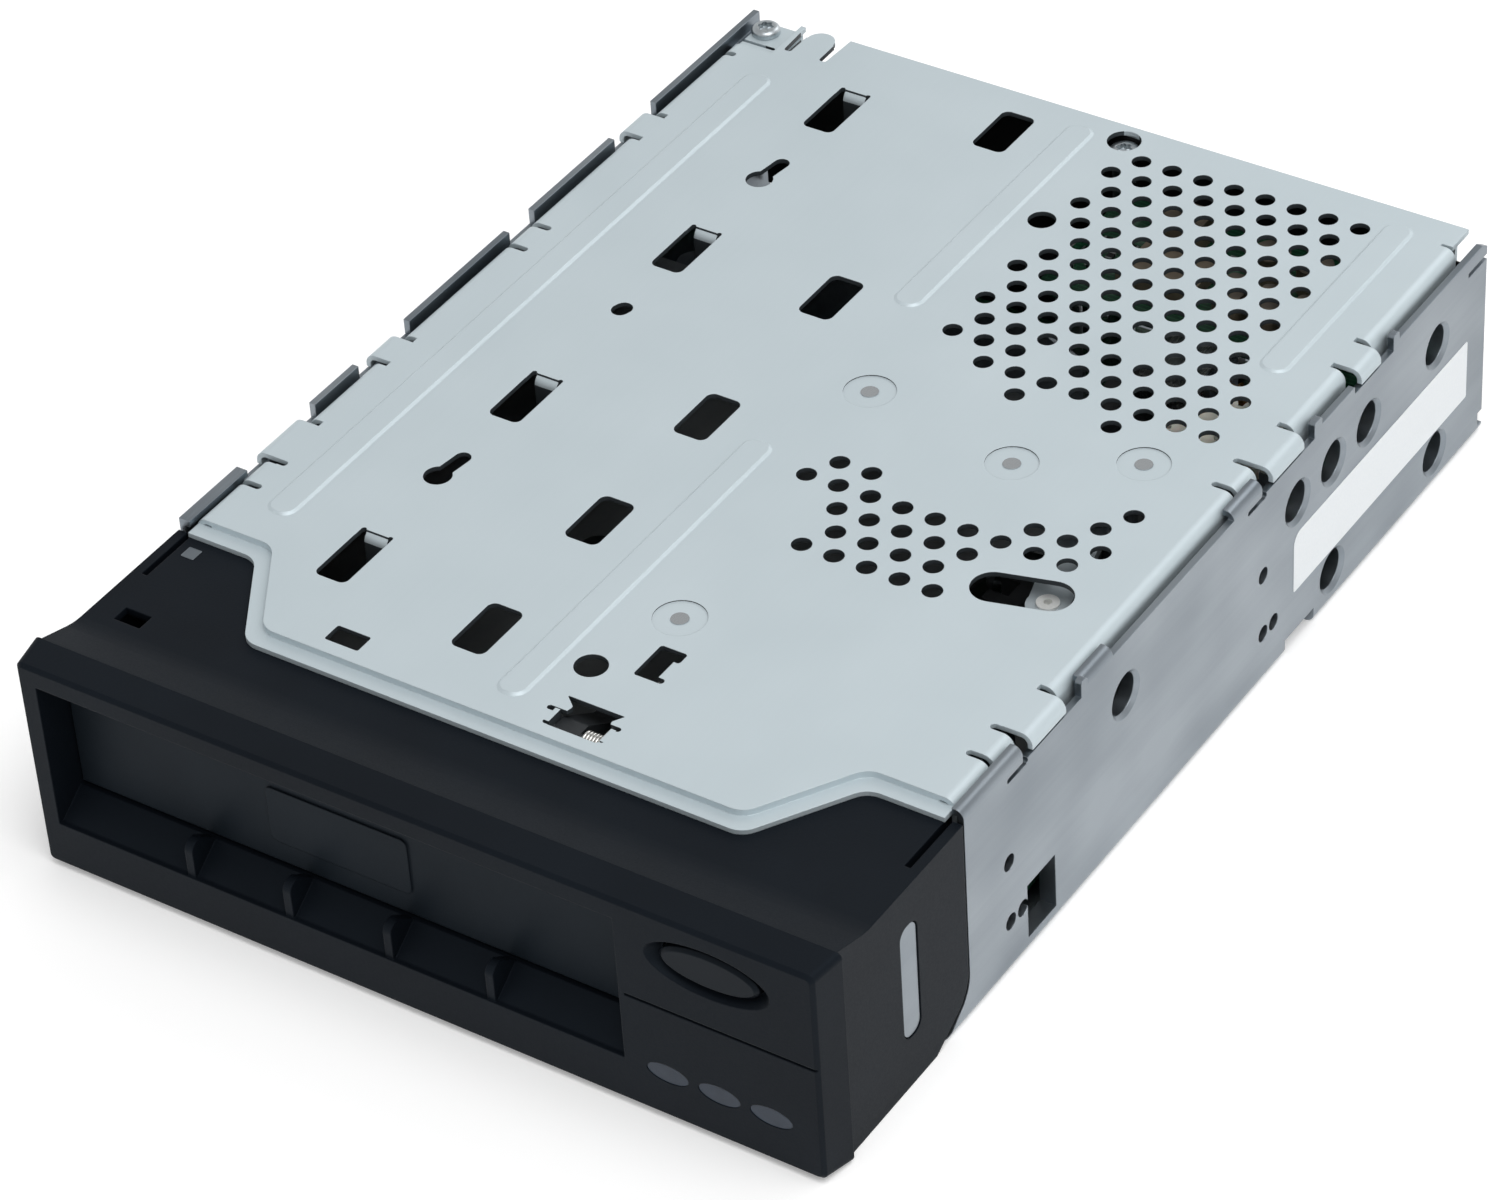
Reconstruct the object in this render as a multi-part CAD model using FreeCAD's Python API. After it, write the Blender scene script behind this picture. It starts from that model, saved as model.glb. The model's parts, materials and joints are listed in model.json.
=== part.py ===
import FreeCAD, Part
import math
import os

# Half-height data tape drive for a 5.25 inch bay, with a cartridge door at the left of its bezel.
# Millimetres. X to the right, Y to the rear, Z up. The origin is the centre of the underside.
# Distances along the depth are written from the front face of the bezel and turned to Y by back().

# Outer form
chassis_width = 146.0
chassis_depth = 204.0
deck_height = 41.0
bezel_lip = 6.4
bezel_flare = 1.1
bezel_height = 41.6
tray_sheet = 1.2
cover_sheet = 0.9
bend_radius = 1.6

# Clearances
running_fit = 0.05
press_gap = 0.02
seat_gap = 0.3
panel_gap = 0.4

# Cartridge bay and the door that closes it
cartridge_width = 101.6
cartridge_height = 16.8
door_margin = 4.0
door_width = 106.8
door_thickness = 1.8
door_recess = 6.5
door_bottom = 13.9
door_height = 23.0
hinge_setback = 0.9
hinge_height = 35.7
hinge_pin_radius = 1.0
bay_floor = 15.4
floor_plate = 2.2

# Side and bottom mounting holes
mount_setback = 47.4
mount_pitch = 79.25
mount_low = 9.9
mount_high = 21.84
bottom_mount_span = 139.7
screw_radius = 1.5
screw_head_radius = 2.7
screw_head_depth = 1.1

# Perforation of the cover
vent_pitch = 6.0
vent_radius = 1.7

# Worked out from the values above, with the reach and the heights of the cuts
half_width = chassis_width / 2
total_depth = bezel_lip + chassis_depth
front_y = -total_depth / 2
inner_half = half_width - tray_sheet
deck_under = deck_height - cover_sheet
door_left = door_margin - half_width
beyond = 10.0
cut_low = 30
cut_high = 50
row_pitch = vent_pitch * math.sqrt(3) / 2
vec = FreeCAD.Vector
seen_from_side = FreeCAD.Rotation(vec(0, 1, 0), vec(0, 0, 1), vec(1, 0, 0), "XYZ")
seen_from_front = FreeCAD.Rotation(vec(1, 0, 0), vec(0, 0, 1), vec(0, -1, 0), "XYZ")


def back(distance):
    """Y of a point that lies this far behind the front face."""
    return front_y + distance


def box(x0, x1, d0, d1, z0, z1):
    """Block between two X, two distances behind the front face and two Z."""
    return Part.makeBox(x1 - x0, d1 - d0, z1 - z0, vec(x0, back(d0), z0))


def cyl(radius, length, x, d, z, axis="z"):
    """Cylinder that starts at a point and runs along an axis."""
    ways = {"x": vec(1, 0, 0), "y": vec(0, 1, 0), "z": vec(0, 0, 1)}
    return Part.makeCylinder(radius, length, vec(x, back(d), z), ways[axis])


def rounded_loop(corners):
    """Closed wire in the XY plane through (x, y, corner radius) points."""
    count = len(corners)
    starts = []
    ends = []
    mids = []
    for k in range(count):
        here = vec(corners[k][0], corners[k][1], 0)
        before = vec(corners[k - 1][0], corners[k - 1][1], 0)
        after = vec(corners[(k + 1) % count][0], corners[(k + 1) % count][1], 0)
        radius = corners[k][2] if len(corners[k]) > 2 else 0
        if radius <= 0:
            starts.append(here)
            ends.append(here)
            mids.append(None)
            continue
        to_before = (before - here).normalize()
        to_after = (after - here).normalize()
        half = to_before.getAngle(to_after) / 2
        reach = radius / math.tan(half)
        middle = (to_before + to_after).normalize() * (radius / math.sin(half) - radius)
        starts.append(here + to_before * reach)
        ends.append(here + to_after * reach)
        mids.append(here + middle)
    edges = []
    for k in range(count):
        if mids[k] is not None:
            edges.append(Part.Arc(starts[k], mids[k], ends[k]).toShape())
        nxt = starts[(k + 1) % count]
        if ends[k].distanceToPoint(nxt) > 1e-6:
            edges.append(Part.LineSegment(ends[k], nxt).toShape())
    return Part.Wire(edges)


def plate(corners, z0, z1):
    """Plate of an outline in plan. The outline's second value is a distance behind the face."""
    face = Part.Face(rounded_loop(corners))
    face.translate(vec(0, front_y, z0))
    return face.extrude(vec(0, 0, z1 - z0))


def side_profile(corners, x0, x1):
    """Outline seen from the side, (distance behind the face, z), carried from x0 to x1."""
    face = Part.Face(rounded_loop(corners))
    face.Placement = FreeCAD.Placement(vec(x0, front_y, 0), seen_from_side)
    return face.extrude(vec(x1 - x0, 0, 0))


def front_profile(corners, d0, d1):
    """Outline seen from the front, (x, z), carried from one depth to another."""
    face = Part.Face(rounded_loop(corners))
    face.Placement = FreeCAD.Placement(vec(0, back(d0), 0), seen_from_front)
    return face.extrude(vec(0, d1 - d0, 0))


def rect(x0, x1, y0, y1, radius=0.0):
    return [(x0, y0, radius), (x1, y0, radius), (x1, y1, radius), (x0, y1, radius)]


def slot(xa, ya, xb, yb, radius):
    """Outline of a slot with round ends about two centres, as four corners with full rounds."""
    along = vec(xb - xa, yb - ya, 0).normalize()
    side = vec(-along.y, along.x, 0) * radius
    tip = along * radius
    a = vec(xa, ya, 0)
    b = vec(xb, yb, 0)
    full = radius * 0.999
    return [(p.x, p.y, full) for p in (a - tip - side, b + tip - side, b + tip + side, a - tip + side)]


def ellipse_prism(x, z, half_x, half_z, d0, d1):
    """Elliptical bar along the depth, about a centre seen from the front."""
    major = Part.Ellipse(vec(0, 0, 0), max(half_x, half_z), min(half_x, half_z))
    face = Part.Face(Part.Wire(major.toShape()))
    face.Placement = FreeCAD.Placement(vec(x, back(d0), z), seen_from_front)
    return face.extrude(vec(0, d1 - d0, 0))


def joined(shapes):
    first = shapes[0]
    if len(shapes) > 1:
        first = first.fuse(shapes[1:])
    return first.removeSplitter()


def group(shapes):
    return Part.makeCompound(shapes)


def ring(outer, inner, length, x, d, z, axis="z"):
    return cyl(outer, length, x, d, z, axis).cut(cyl(inner, length, x, d, z, axis))


# Folded steel tray: floor and two side walls
wall_front = 41.7
floor_front = 32.0
wall_top = 39.4
fold_reach = 2.1
gap_floor = 38.0
left_gaps = ((57.0, 76.6), (88.6, 103.0), (132.1, 139.5), (164.0, 177.0))
right_gaps = ((58.6, 76.0), (132.6, 150.0), (163.6, 177.0))
right_folds = ((77.0, 85.5), (123.5, 132.6))
tip_lengths = (1.8, 2.5, 2.0)
slit_length = 4.6
slit_height = 1.0
burr_radius = 3.6
burr_flare = 0.7
burr_depth = 1.8
burr_high = 28.9
burr_low = 6.6
burr_first = 144.5
burr_pitch = 12.1
burr_alone = 89.2
window_depth = 58.7
window_width = 8.4
window_sill = 2.7
window_height = 10.6
board_underside = 3.0
board_thickness = 1.6
board_top = board_underside + board_thickness
board_front = 62.0
board_rear = total_depth - 7.4
board_half = inner_half - 4.3
base_half = inner_half - 2.3
tongue_inset = 1.3
side_slot_front = 23.0
side_slot_length = 4.8
side_slot_low = 9.6
side_slot_high = 31.6
mount_depths = (bezel_lip + mount_setback, bezel_lip + mount_setback + mount_pitch)
board_fixings = ((7.5 - board_half, board_front + 8), (board_half - 4.5, board_front + 10),
                 (5.5 - board_half, board_rear - 19), (board_half - 5.5, board_rear - 19))
base_fixings = [(x, d) for d in (52.0, 158.0) for x in (7.5 - base_half, base_half - 7.5)]


def countersink(x, d, inset):
    """Cone of a flat-headed screw whose head lies in the floor, smaller all round by an inset."""
    return Part.makeCone(screw_head_radius - 3 * inset, screw_radius - inset, screw_head_depth,
                         vec(x, back(d), inset), vec(0, 0, 1))


def both_sides(shape):
    """A shape and its mirror image across the middle plane."""
    return [shape, shape.mirror(vec(0, 0, 0), vec(1, 0, 0))]


def burred_hole_depths():
    return [burr_first + burr_pitch * k for k in (0, 1, 2, 4)] + [burr_alone]


def burr(d, z):
    """Collar of a hole drawn inward through the right wall, and the flared bore through it."""
    collar = cyl(burr_radius + tray_sheet, burr_depth, inner_half - burr_depth, d, z, "x")
    bore = cyl(burr_radius, burr_depth + 2 * tray_sheet, inner_half - burr_depth - 0.5, d, z, "x")
    flare = Part.makeCone(burr_radius, burr_radius + burr_flare, burr_flare,
                          vec(half_width - burr_flare, back(d), z), vec(1, 0, 0))
    return collar, bore.fuse(flare)


def wall_fold(d0, d1):
    """Edge of the right wall folded inward over a round bend."""
    reach = half_width - fold_reach
    under = deck_height - tray_sheet
    return front_profile([(inner_half, wall_top - 1), (half_width, wall_top - 1),
                          (half_width, deck_height, bend_radius),
                          (reach, deck_height), (reach, under), (inner_half, under)], d0, d1)


def wall_gaps():
    """What the cover's lips, the slits ahead of them and the rear corner take from the walls."""
    outside = half_width + 1
    tools = [box(-outside, 0, d0, d1, gap_floor, deck_height + beyond) for d0, d1 in left_gaps]
    tools += [box(0, outside, d0, d1, gap_floor, deck_height + beyond) for d0, d1 in right_gaps]
    half = slit_height / 2
    for d0, d1 in right_gaps[:2]:
        z = gap_floor - half + 0.1
        tools.append(side_profile(slot(d0 - slit_length + half, z, d0 + 1, z, half), inner_half - 1,
                                  outside))
    rear_corner = [(total_depth - 4.4, deck_height), (total_depth + 1, deck_height),
                   (total_depth + 1, 37.8)]
    tools.append(side_profile(rear_corner, 0, outside))
    tools.append(box(inner_half - 1, outside, total_depth - 6.7, total_depth + 1, 35.8, 36.8))
    tools.append(box(inner_half - 1, outside, total_depth - 1.5, total_depth + 1, 1.7, 4.4))
    return tools


def chassis_tray():
    outer = rect(-half_width, half_width, 0, deck_height + 4, bend_radius)
    inner = rect(-inner_half, inner_half, tray_sheet, deck_height + 8, bend_radius - tray_sheet)
    body = front_profile(outer, floor_front, total_depth)
    body = body.cut(front_profile(inner, floor_front - 1, total_depth + 1))
    nose = [(0, -2), (floor_front, -2), (wall_front, 5.6, 7.0), (wall_front, 60), (0, 60)]
    tools = [side_profile(nose, -half_width - 1, half_width + 1)]
    tools.append(box(-half_width - 1, half_width + 1, 0, total_depth + 1, deck_height, 60))
    body = body.cut(box(0, half_width + 1, wall_front, total_depth + 1, wall_top, deck_height + beyond))
    tools += wall_gaps()
    adds = both_sides(wall_fold(wall_front, left_gaps[0][0]))
    adds += [wall_fold(d0, d1) for d0, d1 in right_folds]
    adds.append(wall_fold(left_gaps[0][0], right_gaps[0][0]))
    for length, (d0, d1) in zip(tip_lengths, right_gaps):
        tip = rect(d1, d1 + length, wall_top - 2, deck_height, 0.7)
        adds.append(side_profile(tip, inner_half, half_width))
    for d in burred_hole_depths():
        for z in (burr_high, burr_low):
            if z == burr_low and d not in (burr_first + burr_pitch, burr_first + 4 * burr_pitch):
                continue
            collar, bore = burr(d, z)
            adds += both_sides(collar)
            tools += both_sides(bore)
    collar = box(inner_half - burr_depth, inner_half, window_depth - 1, window_depth + window_width + 1,
                 window_sill - 1, window_sill + window_height + 1)
    through = box(inner_half - 4, half_width + 1, window_depth, window_depth + window_width,
                  window_sill, window_sill + window_height)
    adds += both_sides(collar)
    tools += both_sides(through)
    root = box(half_width - tongue_inset - tray_sheet, half_width - tongue_inset, wall_front - 1,
               wall_front + 4, 8, 33)
    jog = box(half_width - tongue_inset - tray_sheet, half_width, wall_front + 2, wall_front + 4, 8, 33)
    for piece in (root, jog):
        adds += both_sides(piece)
    tab_top = deck_height - border_drop - cover_sheet - seat_gap
    adds.append(box(-inner_half - 0.1, ledge_right, step_depth + 1.5, cover_rear - 0.6,
                    tab_top - tray_sheet, tab_top))
    tools.append(cyl(screw_radius - 0.2, 9, cover_screw_places[0][0], cover_screw_places[0][1],
                     tab_top - 5))
    for x, d in board_fixings:
        adds.append(cyl(2.6, board_underside - tray_sheet, x, d, tray_sheet))
        tools.append(cyl(1.25, board_underside + 1, x, d, -0.5))
    for d in mount_depths:
        for x in (-bottom_mount_span / 2, bottom_mount_span / 2):
            tools.append(cyl(screw_radius, 4, x, d, -1))
        for z in (mount_low, mount_high):
            tools.append(cyl(screw_radius, chassis_width + 4, -half_width - 2, d, z, "x"))
        tools.append(cyl(screw_radius, chassis_width + 4, -half_width - 2, d + 3.5, mount_low, "x"))
    for k in range(6):
        for x in (-38, 38):
            tools.append(plate(slot(x - 12, 108 + 13 * k, x + 12, 108 + 13 * k, 1.8), -1, 3))
    for side in (-1, 1):
        wall = half_width * side
        tools.append(box(min(wall, wall - 2 * side), max(wall, wall - 2 * side), 140.5, 150.3, -1, 3.1))
    for x in (-16, 16):
        adds.append(plate(slot(x, 70, x, 178, 3.2), tray_sheet, tray_sheet + 0.6))
        tools.append(plate(slot(x, 70, x, 178, 2.4), -1, 0.6))
    for x, d in base_fixings:
        tools.append(cyl(screw_radius, 4, x, d, -1))
        tools.append(countersink(x, d, 0))
    return body.fuse(adds).cut(tools).removeSplitter()


# Pressed steel cover with its perforation, lanced windows and beads
border_width = 2.8
border_drop = 1.2
outer_edge = 40.5
tongue_edge = 23.0
outer_corner = 57.0
tongue_corner = 46.0
deck_half = half_width - 5.2
lip_bend = 2.0
lip_low = 36.0
inner_lip_x = half_width - 2.3
relief_width = 1.3
long_relief = 1.0
short_relief = 4.0
finger_pitch = 7.0
left_lips = ((61.9, 72.2), (92.2, 98.4), (167.1, 173.6))
right_lips = ((61.5, 71.4), (136.2, 146.5), (166.0, 172.6))
finger_fronts = ((-1, 54.4), (-1, 129.3), (1, 53.8), (1, 128.6))
side_cuts = ((-1, 14.0, 3.9), (1, 7.0, 0.3))
window_pitch = 47.5
left_window = (-45.7, -39.6, 40.8, 52.9)
right_window = (-16.8, -10.4)
right_window_length = 11.8
right_window_fronts = (36.8, 67.8, 98.8, 136.4, 192.1)
window_tab_drop = 6.3
bead_width = 5.4
bead_rise = 0.35
stud_radius = 1.5
stud_places = ((5.8, 123.3), (35.8, 117.9), (54.3, 127.8), (11.1, 59.4))
lever_slot = (49.4, 89.4, 58.4, 91.8, 3.7)
spring_hole = (7.4, 16.7, 28.3, 35.5)
cover_rear = total_depth - 0.6
ledge_left = 2.5 - half_width
ledge_right = 10.3 - half_width
ledge_low = 1.5
step_depth = total_depth - 10.5
tongue_x = 16.15 - half_width
tongue_half = 2.65
cover_screw_places = ((4.8 - half_width, total_depth - 3.5), (6.1, total_depth - 5.0))


def cover_front(inset):
    """Front edge of the cover from left to right, moved back evenly by an inset."""
    slope = (outer_corner - tongue_corner) / (outer_edge - tongue_edge)
    shift = (slope - math.sqrt(1 + slope * slope)) * inset
    left = [(-outer_corner - shift, outer_edge + inset, 4.0),
            (-tongue_corner - shift, tongue_edge + inset, 4.0)]
    return left + [(-x, y, r) for x, y, r in reversed(left)]


def cover_outline(inset, half, rear):
    ends = outer_edge + inset
    return [(-half, ends)] + cover_front(inset) + [(half, ends), (half, rear), (-half, rear)]


# Each run of holes is (row, first column, last column); columns count half pitches, two to a hole
rear_field = (8.85, 201.3, (
    (0, 1, 15), (1, 0, 14), (2, 1, 15), (3, 0, 14), (4, 1, 15), (5, 2, 14), (6, 1, 15), (7, 0, 14),
    (8, 1, 15), (9, 0, 8), (9, 12, 16), (10, 1, 17), (11, 0, 4), (11, 8, 16), (12, 3, 17),
    (13, 6, 6), (13, 12, 12)))
front_field = (8.7, 115.2, (
    (0, 17, 17), (1, 16, 16), (2, 1, 3), (2, 13, 17), (3, 0, 16), (4, 3, 11), (5, 4, 10), (6, 3, 11)))


def vent_centres():
    centres = []
    for left, rear, runs in (rear_field, front_field):
        for row, first, last in runs:
            for column in range(first, last + 1, 2):
                centres.append((left + column * vent_pitch / 2, rear - row * row_pitch))
    return centres


def lip(side, x_out, low, d0, d1):
    """Edge of the cover turned down over a round bend, between two depths."""
    x_in = deck_half - 1.0
    corners = [(x_in, deck_height), (x_out, deck_height, lip_bend), (x_out, low),
               (x_out - cover_sheet, low), (x_out - cover_sheet, deck_under, lip_bend - cover_sheet),
               (x_in, deck_under)]
    shape = front_profile(corners, d0, d1)
    return shape if side > 0 else shape.mirror(vec(0, 0, 0), vec(1, 0, 0))


def side_lips():
    """Turned-down edges: outer ones that reach into the gaps of the walls, inner ones between them."""
    shapes = []
    for side, lips, rear in ((-1, left_lips, step_depth), (1, right_lips, total_depth - 7.0)):
        start = outer_edge + border_width
        for lip_start, lip_end in lips:
            shapes.append(lip(side, inner_lip_x, lip_low, start, lip_start - relief_width))
            shapes.append(lip(side, half_width, gap_floor + panel_gap, lip_start, lip_end))
            start = lip_end + relief_width
        shapes.append(lip(side, inner_lip_x, lip_low, start, rear))
    corner = plate(rect(deck_half - 1, deck_half + 2, total_depth - 6.4, cover_rear), deck_under,
                   deck_height)
    return shapes + [corner]


def edge_slot(side, inset, d):
    """Relief cut from an inset behind the outer face of the wall to beyond the edge, at one depth."""
    radius = relief_width / 2
    outline = slot(side * (half_width - inset), d, side * (half_width + beyond), d, radius)
    return plate(outline, cut_low, deck_height + beyond)


def side_reliefs():
    """Long reliefs at both sides of each finger, short ones at the ends of the outer lips."""
    half = relief_width / 2
    long_inset = half_width - deck_half + long_relief
    cuts = []
    for side, d in finger_fronts:
        cuts += [edge_slot(side, long_inset, d), edge_slot(side, long_inset, d + finger_pitch)]
    for side, lips in ((-1, left_lips), (1, right_lips)):
        for lip_start, lip_end in lips:
            cuts.append(edge_slot(side, short_relief, lip_start - half))
            cuts.append(edge_slot(side, short_relief, lip_end + half))
    cuts += [edge_slot(side, inset + half, total_depth - back_from) for side, back_from, inset in side_cuts]
    return cuts


def rear_corner():
    """Lowered ledge of the rear left corner with its riser, and the skirt along the rear."""
    top = deck_height - ledge_low
    under = top - cover_sheet
    ledge = plate(rect(ledge_left, ledge_right + 1.2, step_depth - 1.5, cover_rear, 1.6), under, top)
    riser = box(ledge_left + 1, ledge_right + 1.2, step_depth - 1.5, step_depth, under, deck_under)
    skirt = box(ledge_right + 12, deck_half, cover_rear - cover_sheet, cover_rear, 33.0, deck_under)
    return [ledge, riser, skirt]


def rear_slits():
    """What the lowered corner and the tongue beside it take from the deck."""
    above = deck_height + beyond
    past = total_depth + beyond
    tools = [box(-half_width - 1, ledge_right + 0.2, step_depth, past, deck_under - 0.5, above)]
    tools.append(plate(slot(-half_width, step_depth + 3.1, ledge_right - 1.5, step_depth + 3.1, 0.35),
                       cut_low, above))
    mouth = tongue_half + 2.6
    root = tongue_half + 1.7
    inner = tongue_half + 0.3
    for side in (-1, 1):
        outline = [(inner, step_depth + 2.0, 0.5), (root, step_depth + 2.0, 0.5), (mouth, past),
                   (tongue_half, past)]
        tools.append(plate([(tongue_x + side * x, *rest) for x, *rest in outline], cut_low, above))
    end = cover_rear - tongue_half
    around = box(tongue_x - tongue_half - 0.5, tongue_x + tongue_half + 0.5, end, past, cut_low, above)
    tools.append(around.cut(cyl(tongue_half, deck_height, tongue_x, end, 20)))
    return tools


def bead(x, d0, d1):
    """Long embossed bead with sloping sides."""
    half = bead_width / 2
    low = rounded_loop(rect(x - half, x + half, back(d0), back(d1), 2.4))
    low.translate(vec(0, 0, deck_height))
    high = rounded_loop(rect(x - half + 0.5, x + half - 0.5, back(d0 + 0.5), back(d1 - 0.5), 1.9))
    high.translate(vec(0, 0, deck_height + bead_rise))
    return Part.makeLoft([low, high], True)


def rear_window_tab(x0, x1, d):
    """Tab turned down at the rear end of a left-hand window."""
    front = d - 0.9
    corners = [(d + 1.6, deck_height), (front, deck_height, 2.2), (front, deck_height - window_tab_drop),
               (front + cover_sheet, deck_height - window_tab_drop), (front + cover_sheet, deck_under, 1.3),
               (d + 1.6, deck_under)]
    return side_profile(corners, x0, x1)


def side_window_tab(x, d0, d1):
    """Tab turned down along the right side of a right-hand window."""
    left = x - 1.8
    low = deck_height - window_tab_drop
    corners = [(x + 0.6, deck_height), (left, deck_height, 2.2), (left, low), (left + cover_sheet, low),
               (left + cover_sheet, deck_under, 1.3), (x + 0.6, deck_under)]
    return front_profile(corners, d0, d1)


def top_cover():
    low_top = deck_height - border_drop
    low_under = low_top - cover_sheet
    wide = deck_half + 5
    far = total_depth + 5
    deck = plate(cover_outline(border_width, deck_half, cover_rear), deck_under, deck_height)
    strip = plate(cover_outline(0, deck_half + 2.6, outer_edge + 5), low_under, low_top)
    strip = strip.cut(plate(cover_outline(border_width + cover_sheet, wide, far), low_under - 1,
                            low_top + 1))
    riser = plate(cover_outline(border_width, deck_half, cover_rear), low_under, deck_height)
    riser = riser.cut(plate(cover_outline(border_width + cover_sheet, wide, far), low_under - 1,
                            deck_height + 1))
    adds = [strip, riser]
    tools = []
    adds += side_lips() + rear_corner()
    tools += side_reliefs() + rear_slits()
    for k in range(4):
        x0, x1, d0, d1 = left_window
        d0 += window_pitch * k
        d1 += window_pitch * k
        tools.append(plate(rect(x0, x1, d0, d1, 1.3), cut_low, cut_high))
        for x in (x0 + 0.5, x1 - 0.45):
            tools.append(plate(slot(x, d1 - 2, x, d1 + 0.8, 0.45), cut_low, cut_high))
        tools.append(box(x0 + 0.9, x1 - 0.9, d1 - 2, d1 + 0.9, cut_low, cut_high))
    for d0 in right_window_fronts:
        x0, x1 = right_window
        tools.append(plate(rect(x0, x1, d0, d0 + right_window_length, 1.4), cut_low, cut_high))
    for d in (165.8, 165.8 - 2 * window_pitch):
        tools.append(cyl(2.4, 20, -43.0, d, 30))
        tools.append(plate(slot(-42.8, d + 1.5, -42.2, d + 5.8, 1.4), cut_low, cut_high))
    tools.append(plate(slot(-42.6, 122.6, -42.4, 123.2, 1.6), cut_low, cut_high))
    tools.append(plate(rect(-34.4, -28.0, 28.4, 32.1, 0.4), cut_low, cut_high))
    tools.append(cyl(2.75, 20, 5.6, 43.1, 30))
    tools.append(cyl(2.45, 20, 5.7, 178.3, 30))
    x0, x1, d0, d1 = spring_hole
    tools.append(plate(rect(x0, x1, d0, d0 + 4.1, 0.4), cut_low, cut_high))
    tools.append(plate([(x0 - 0.9, d1, 0.1), (x1 + 0.3, d1, 0.1), (x1 - 0.9, d1 - 1.9, 0.6),
                        (x1 - 0.3, d0 + 3.9),
                        (x0 + 1.0, d0 + 3.9), (x0 + 1.35, d1 - 1.9, 0.6)], cut_low, cut_high))
    for x, d, reach in ((x0, d0 + 0.55, -0.4), (x0, d0 + 3.6, -1.7), (x1, d0 + 0.9, 0.3),
                        (x1, d0 + 4.2, 1.0)):
        tools.append(plate(slot(x - math.copysign(0.5, reach), d, x + reach, d, 0.5), cut_low, cut_high))
    tools.append(plate(rect(12.3, 16.2, 44.6, 52.5, 0.5), cut_low, cut_high))
    tools.append(plate(slot(15.5, 45.2, 17.0, 45.2, 0.6), cut_low, cut_high))
    tools.append(plate(rect(15.5, 17.2, 50.0, 52.5, 0.5), cut_low, cut_high))
    tools.append(plate(slot(*lever_slot), cut_low, cut_high))
    for x, d in stud_places:
        tools.append(cyl(stud_radius, 20, x, d, 30))
        tools.append(cyl(4.4, 1, x, d, deck_height - 0.2))
    for x, d in vent_centres():
        tools.append(cyl(vent_radius, 3, x, d, deck_under - 1))
    for x, d in cover_screw_places:
        tools.append(cyl(1.6, 20, x, d, 30))
    x, d = cover_screw_places[1]
    tools.append(cyl(3.0, 20, x, d, 30))
    body = deck.fuse(adds).removeSplitter().cut(tools)
    pieces = [body]
    x0, x1, d0, d1 = left_window
    for k in range(4):
        pieces.append(rear_window_tab(x0 + 0.9, x1 - 0.9, d1 + window_pitch * k + 0.9))
    for d0 in right_window_fronts:
        pieces.append(side_window_tab(right_window[1] + 1.2, d0 + 1.6, d0 + 8.2))
    for ear in (spring_hole[0] - 0.9, spring_hole[1]):
        pieces.append(spring_ear(ear))
    body = pieces[0].fuse(pieces[1:])
    for x, d0, d1 in ((-60.0, 50.0, cover_rear - 16.6), (-2.0, 31.0, 103.6),
                     (-2.0, 146.0, cover_rear - 3.8), (59.8, 158.8, cover_rear - 4.2)):
        body = body.fuse(bead(x, d0, d1))
    return body.removeSplitter()


# Pin, arm and spring that hang from two ears of the cover
hold_pin_depth = 30.6
hold_pin_height = 38.3
hold_pin_radius = 0.9
ear_half = 1.6
ear_drop = 3.6
spring_wire = 0.28


def spring_ear(x):
    """Ear turned down from the cover with a bore for the pin."""
    d = hold_pin_depth
    ear = side_profile([(d - ear_half, deck_height), (d + ear_half, deck_height),
                        (d + ear_half, deck_under - ear_drop, 1.4),
                        (d - ear_half, deck_under - ear_drop, 1.4)],
                       x, x + cover_sheet)
    return ear.cut(cyl(hold_pin_radius + running_fit, 3, x - 1, d, hold_pin_height, "x"))


def coil(x0, turns, radius, d, z):
    """Close-wound turns about an axis along X, as one scalloped sleeve. The radius is the wire's middle."""
    y = back(d)
    inner = z + radius - spring_wire
    outer = z + radius
    edges = []
    for k in range(turns):
        a = x0 + 2 * spring_wire * k
        edges.append(Part.Arc(vec(a, y, outer), vec(a + spring_wire, y, outer + spring_wire),
                              vec(a + 2 * spring_wire, y, outer)).toShape())
    end = x0 + 2 * spring_wire * turns
    for p, q in (((end, outer), (end, inner)), ((end, inner), (x0, inner)), ((x0, inner), (x0, outer))):
        edges.append(Part.LineSegment(vec(p[0], y, p[1]), vec(q[0], y, q[1])).toShape())
    return Part.Face(Part.Wire(edges)).revolve(vec(0, y, z), vec(1, 0, 0), 360)


def wire_leg(start, end):
    a = vec(start[0], back(start[1]), start[2])
    b = vec(end[0], back(end[1]), end[2])
    return Part.makeCylinder(spring_wire, (b - a).Length, a, b - a)


def hold_down_pin():
    x0 = spring_hole[0] - cover_sheet - 0.4
    x1 = spring_hole[1] + cover_sheet + 0.4
    return cyl(hold_pin_radius, x1 - x0, x0, hold_pin_depth, hold_pin_height, "x")


def hold_down_arm():
    d = hold_pin_depth
    z = hold_pin_height
    x0 = spring_hole[0] + 0.3
    x1 = x0 + 4.6
    outline = [(d - 1.8, z - 1.4, 0.8), (d + 1.4, z - 1.4, 1.0), (d + 9.0, z - 5.6, 1.5),
               (d + 14.0, z - 5.6, 0.8),
               (d + 14.0, z - 3.6, 0.8), (d + 9.6, z - 3.6, 1.5), (d + 1.8, z + 1.3, 1.0),
               (d - 1.8, z + 1.3, 0.8)]
    arm = side_profile(outline, x0, x1)
    return arm.cut(cyl(hold_pin_radius + running_fit, 8, x0 - 1, d, z, "x"))


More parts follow.
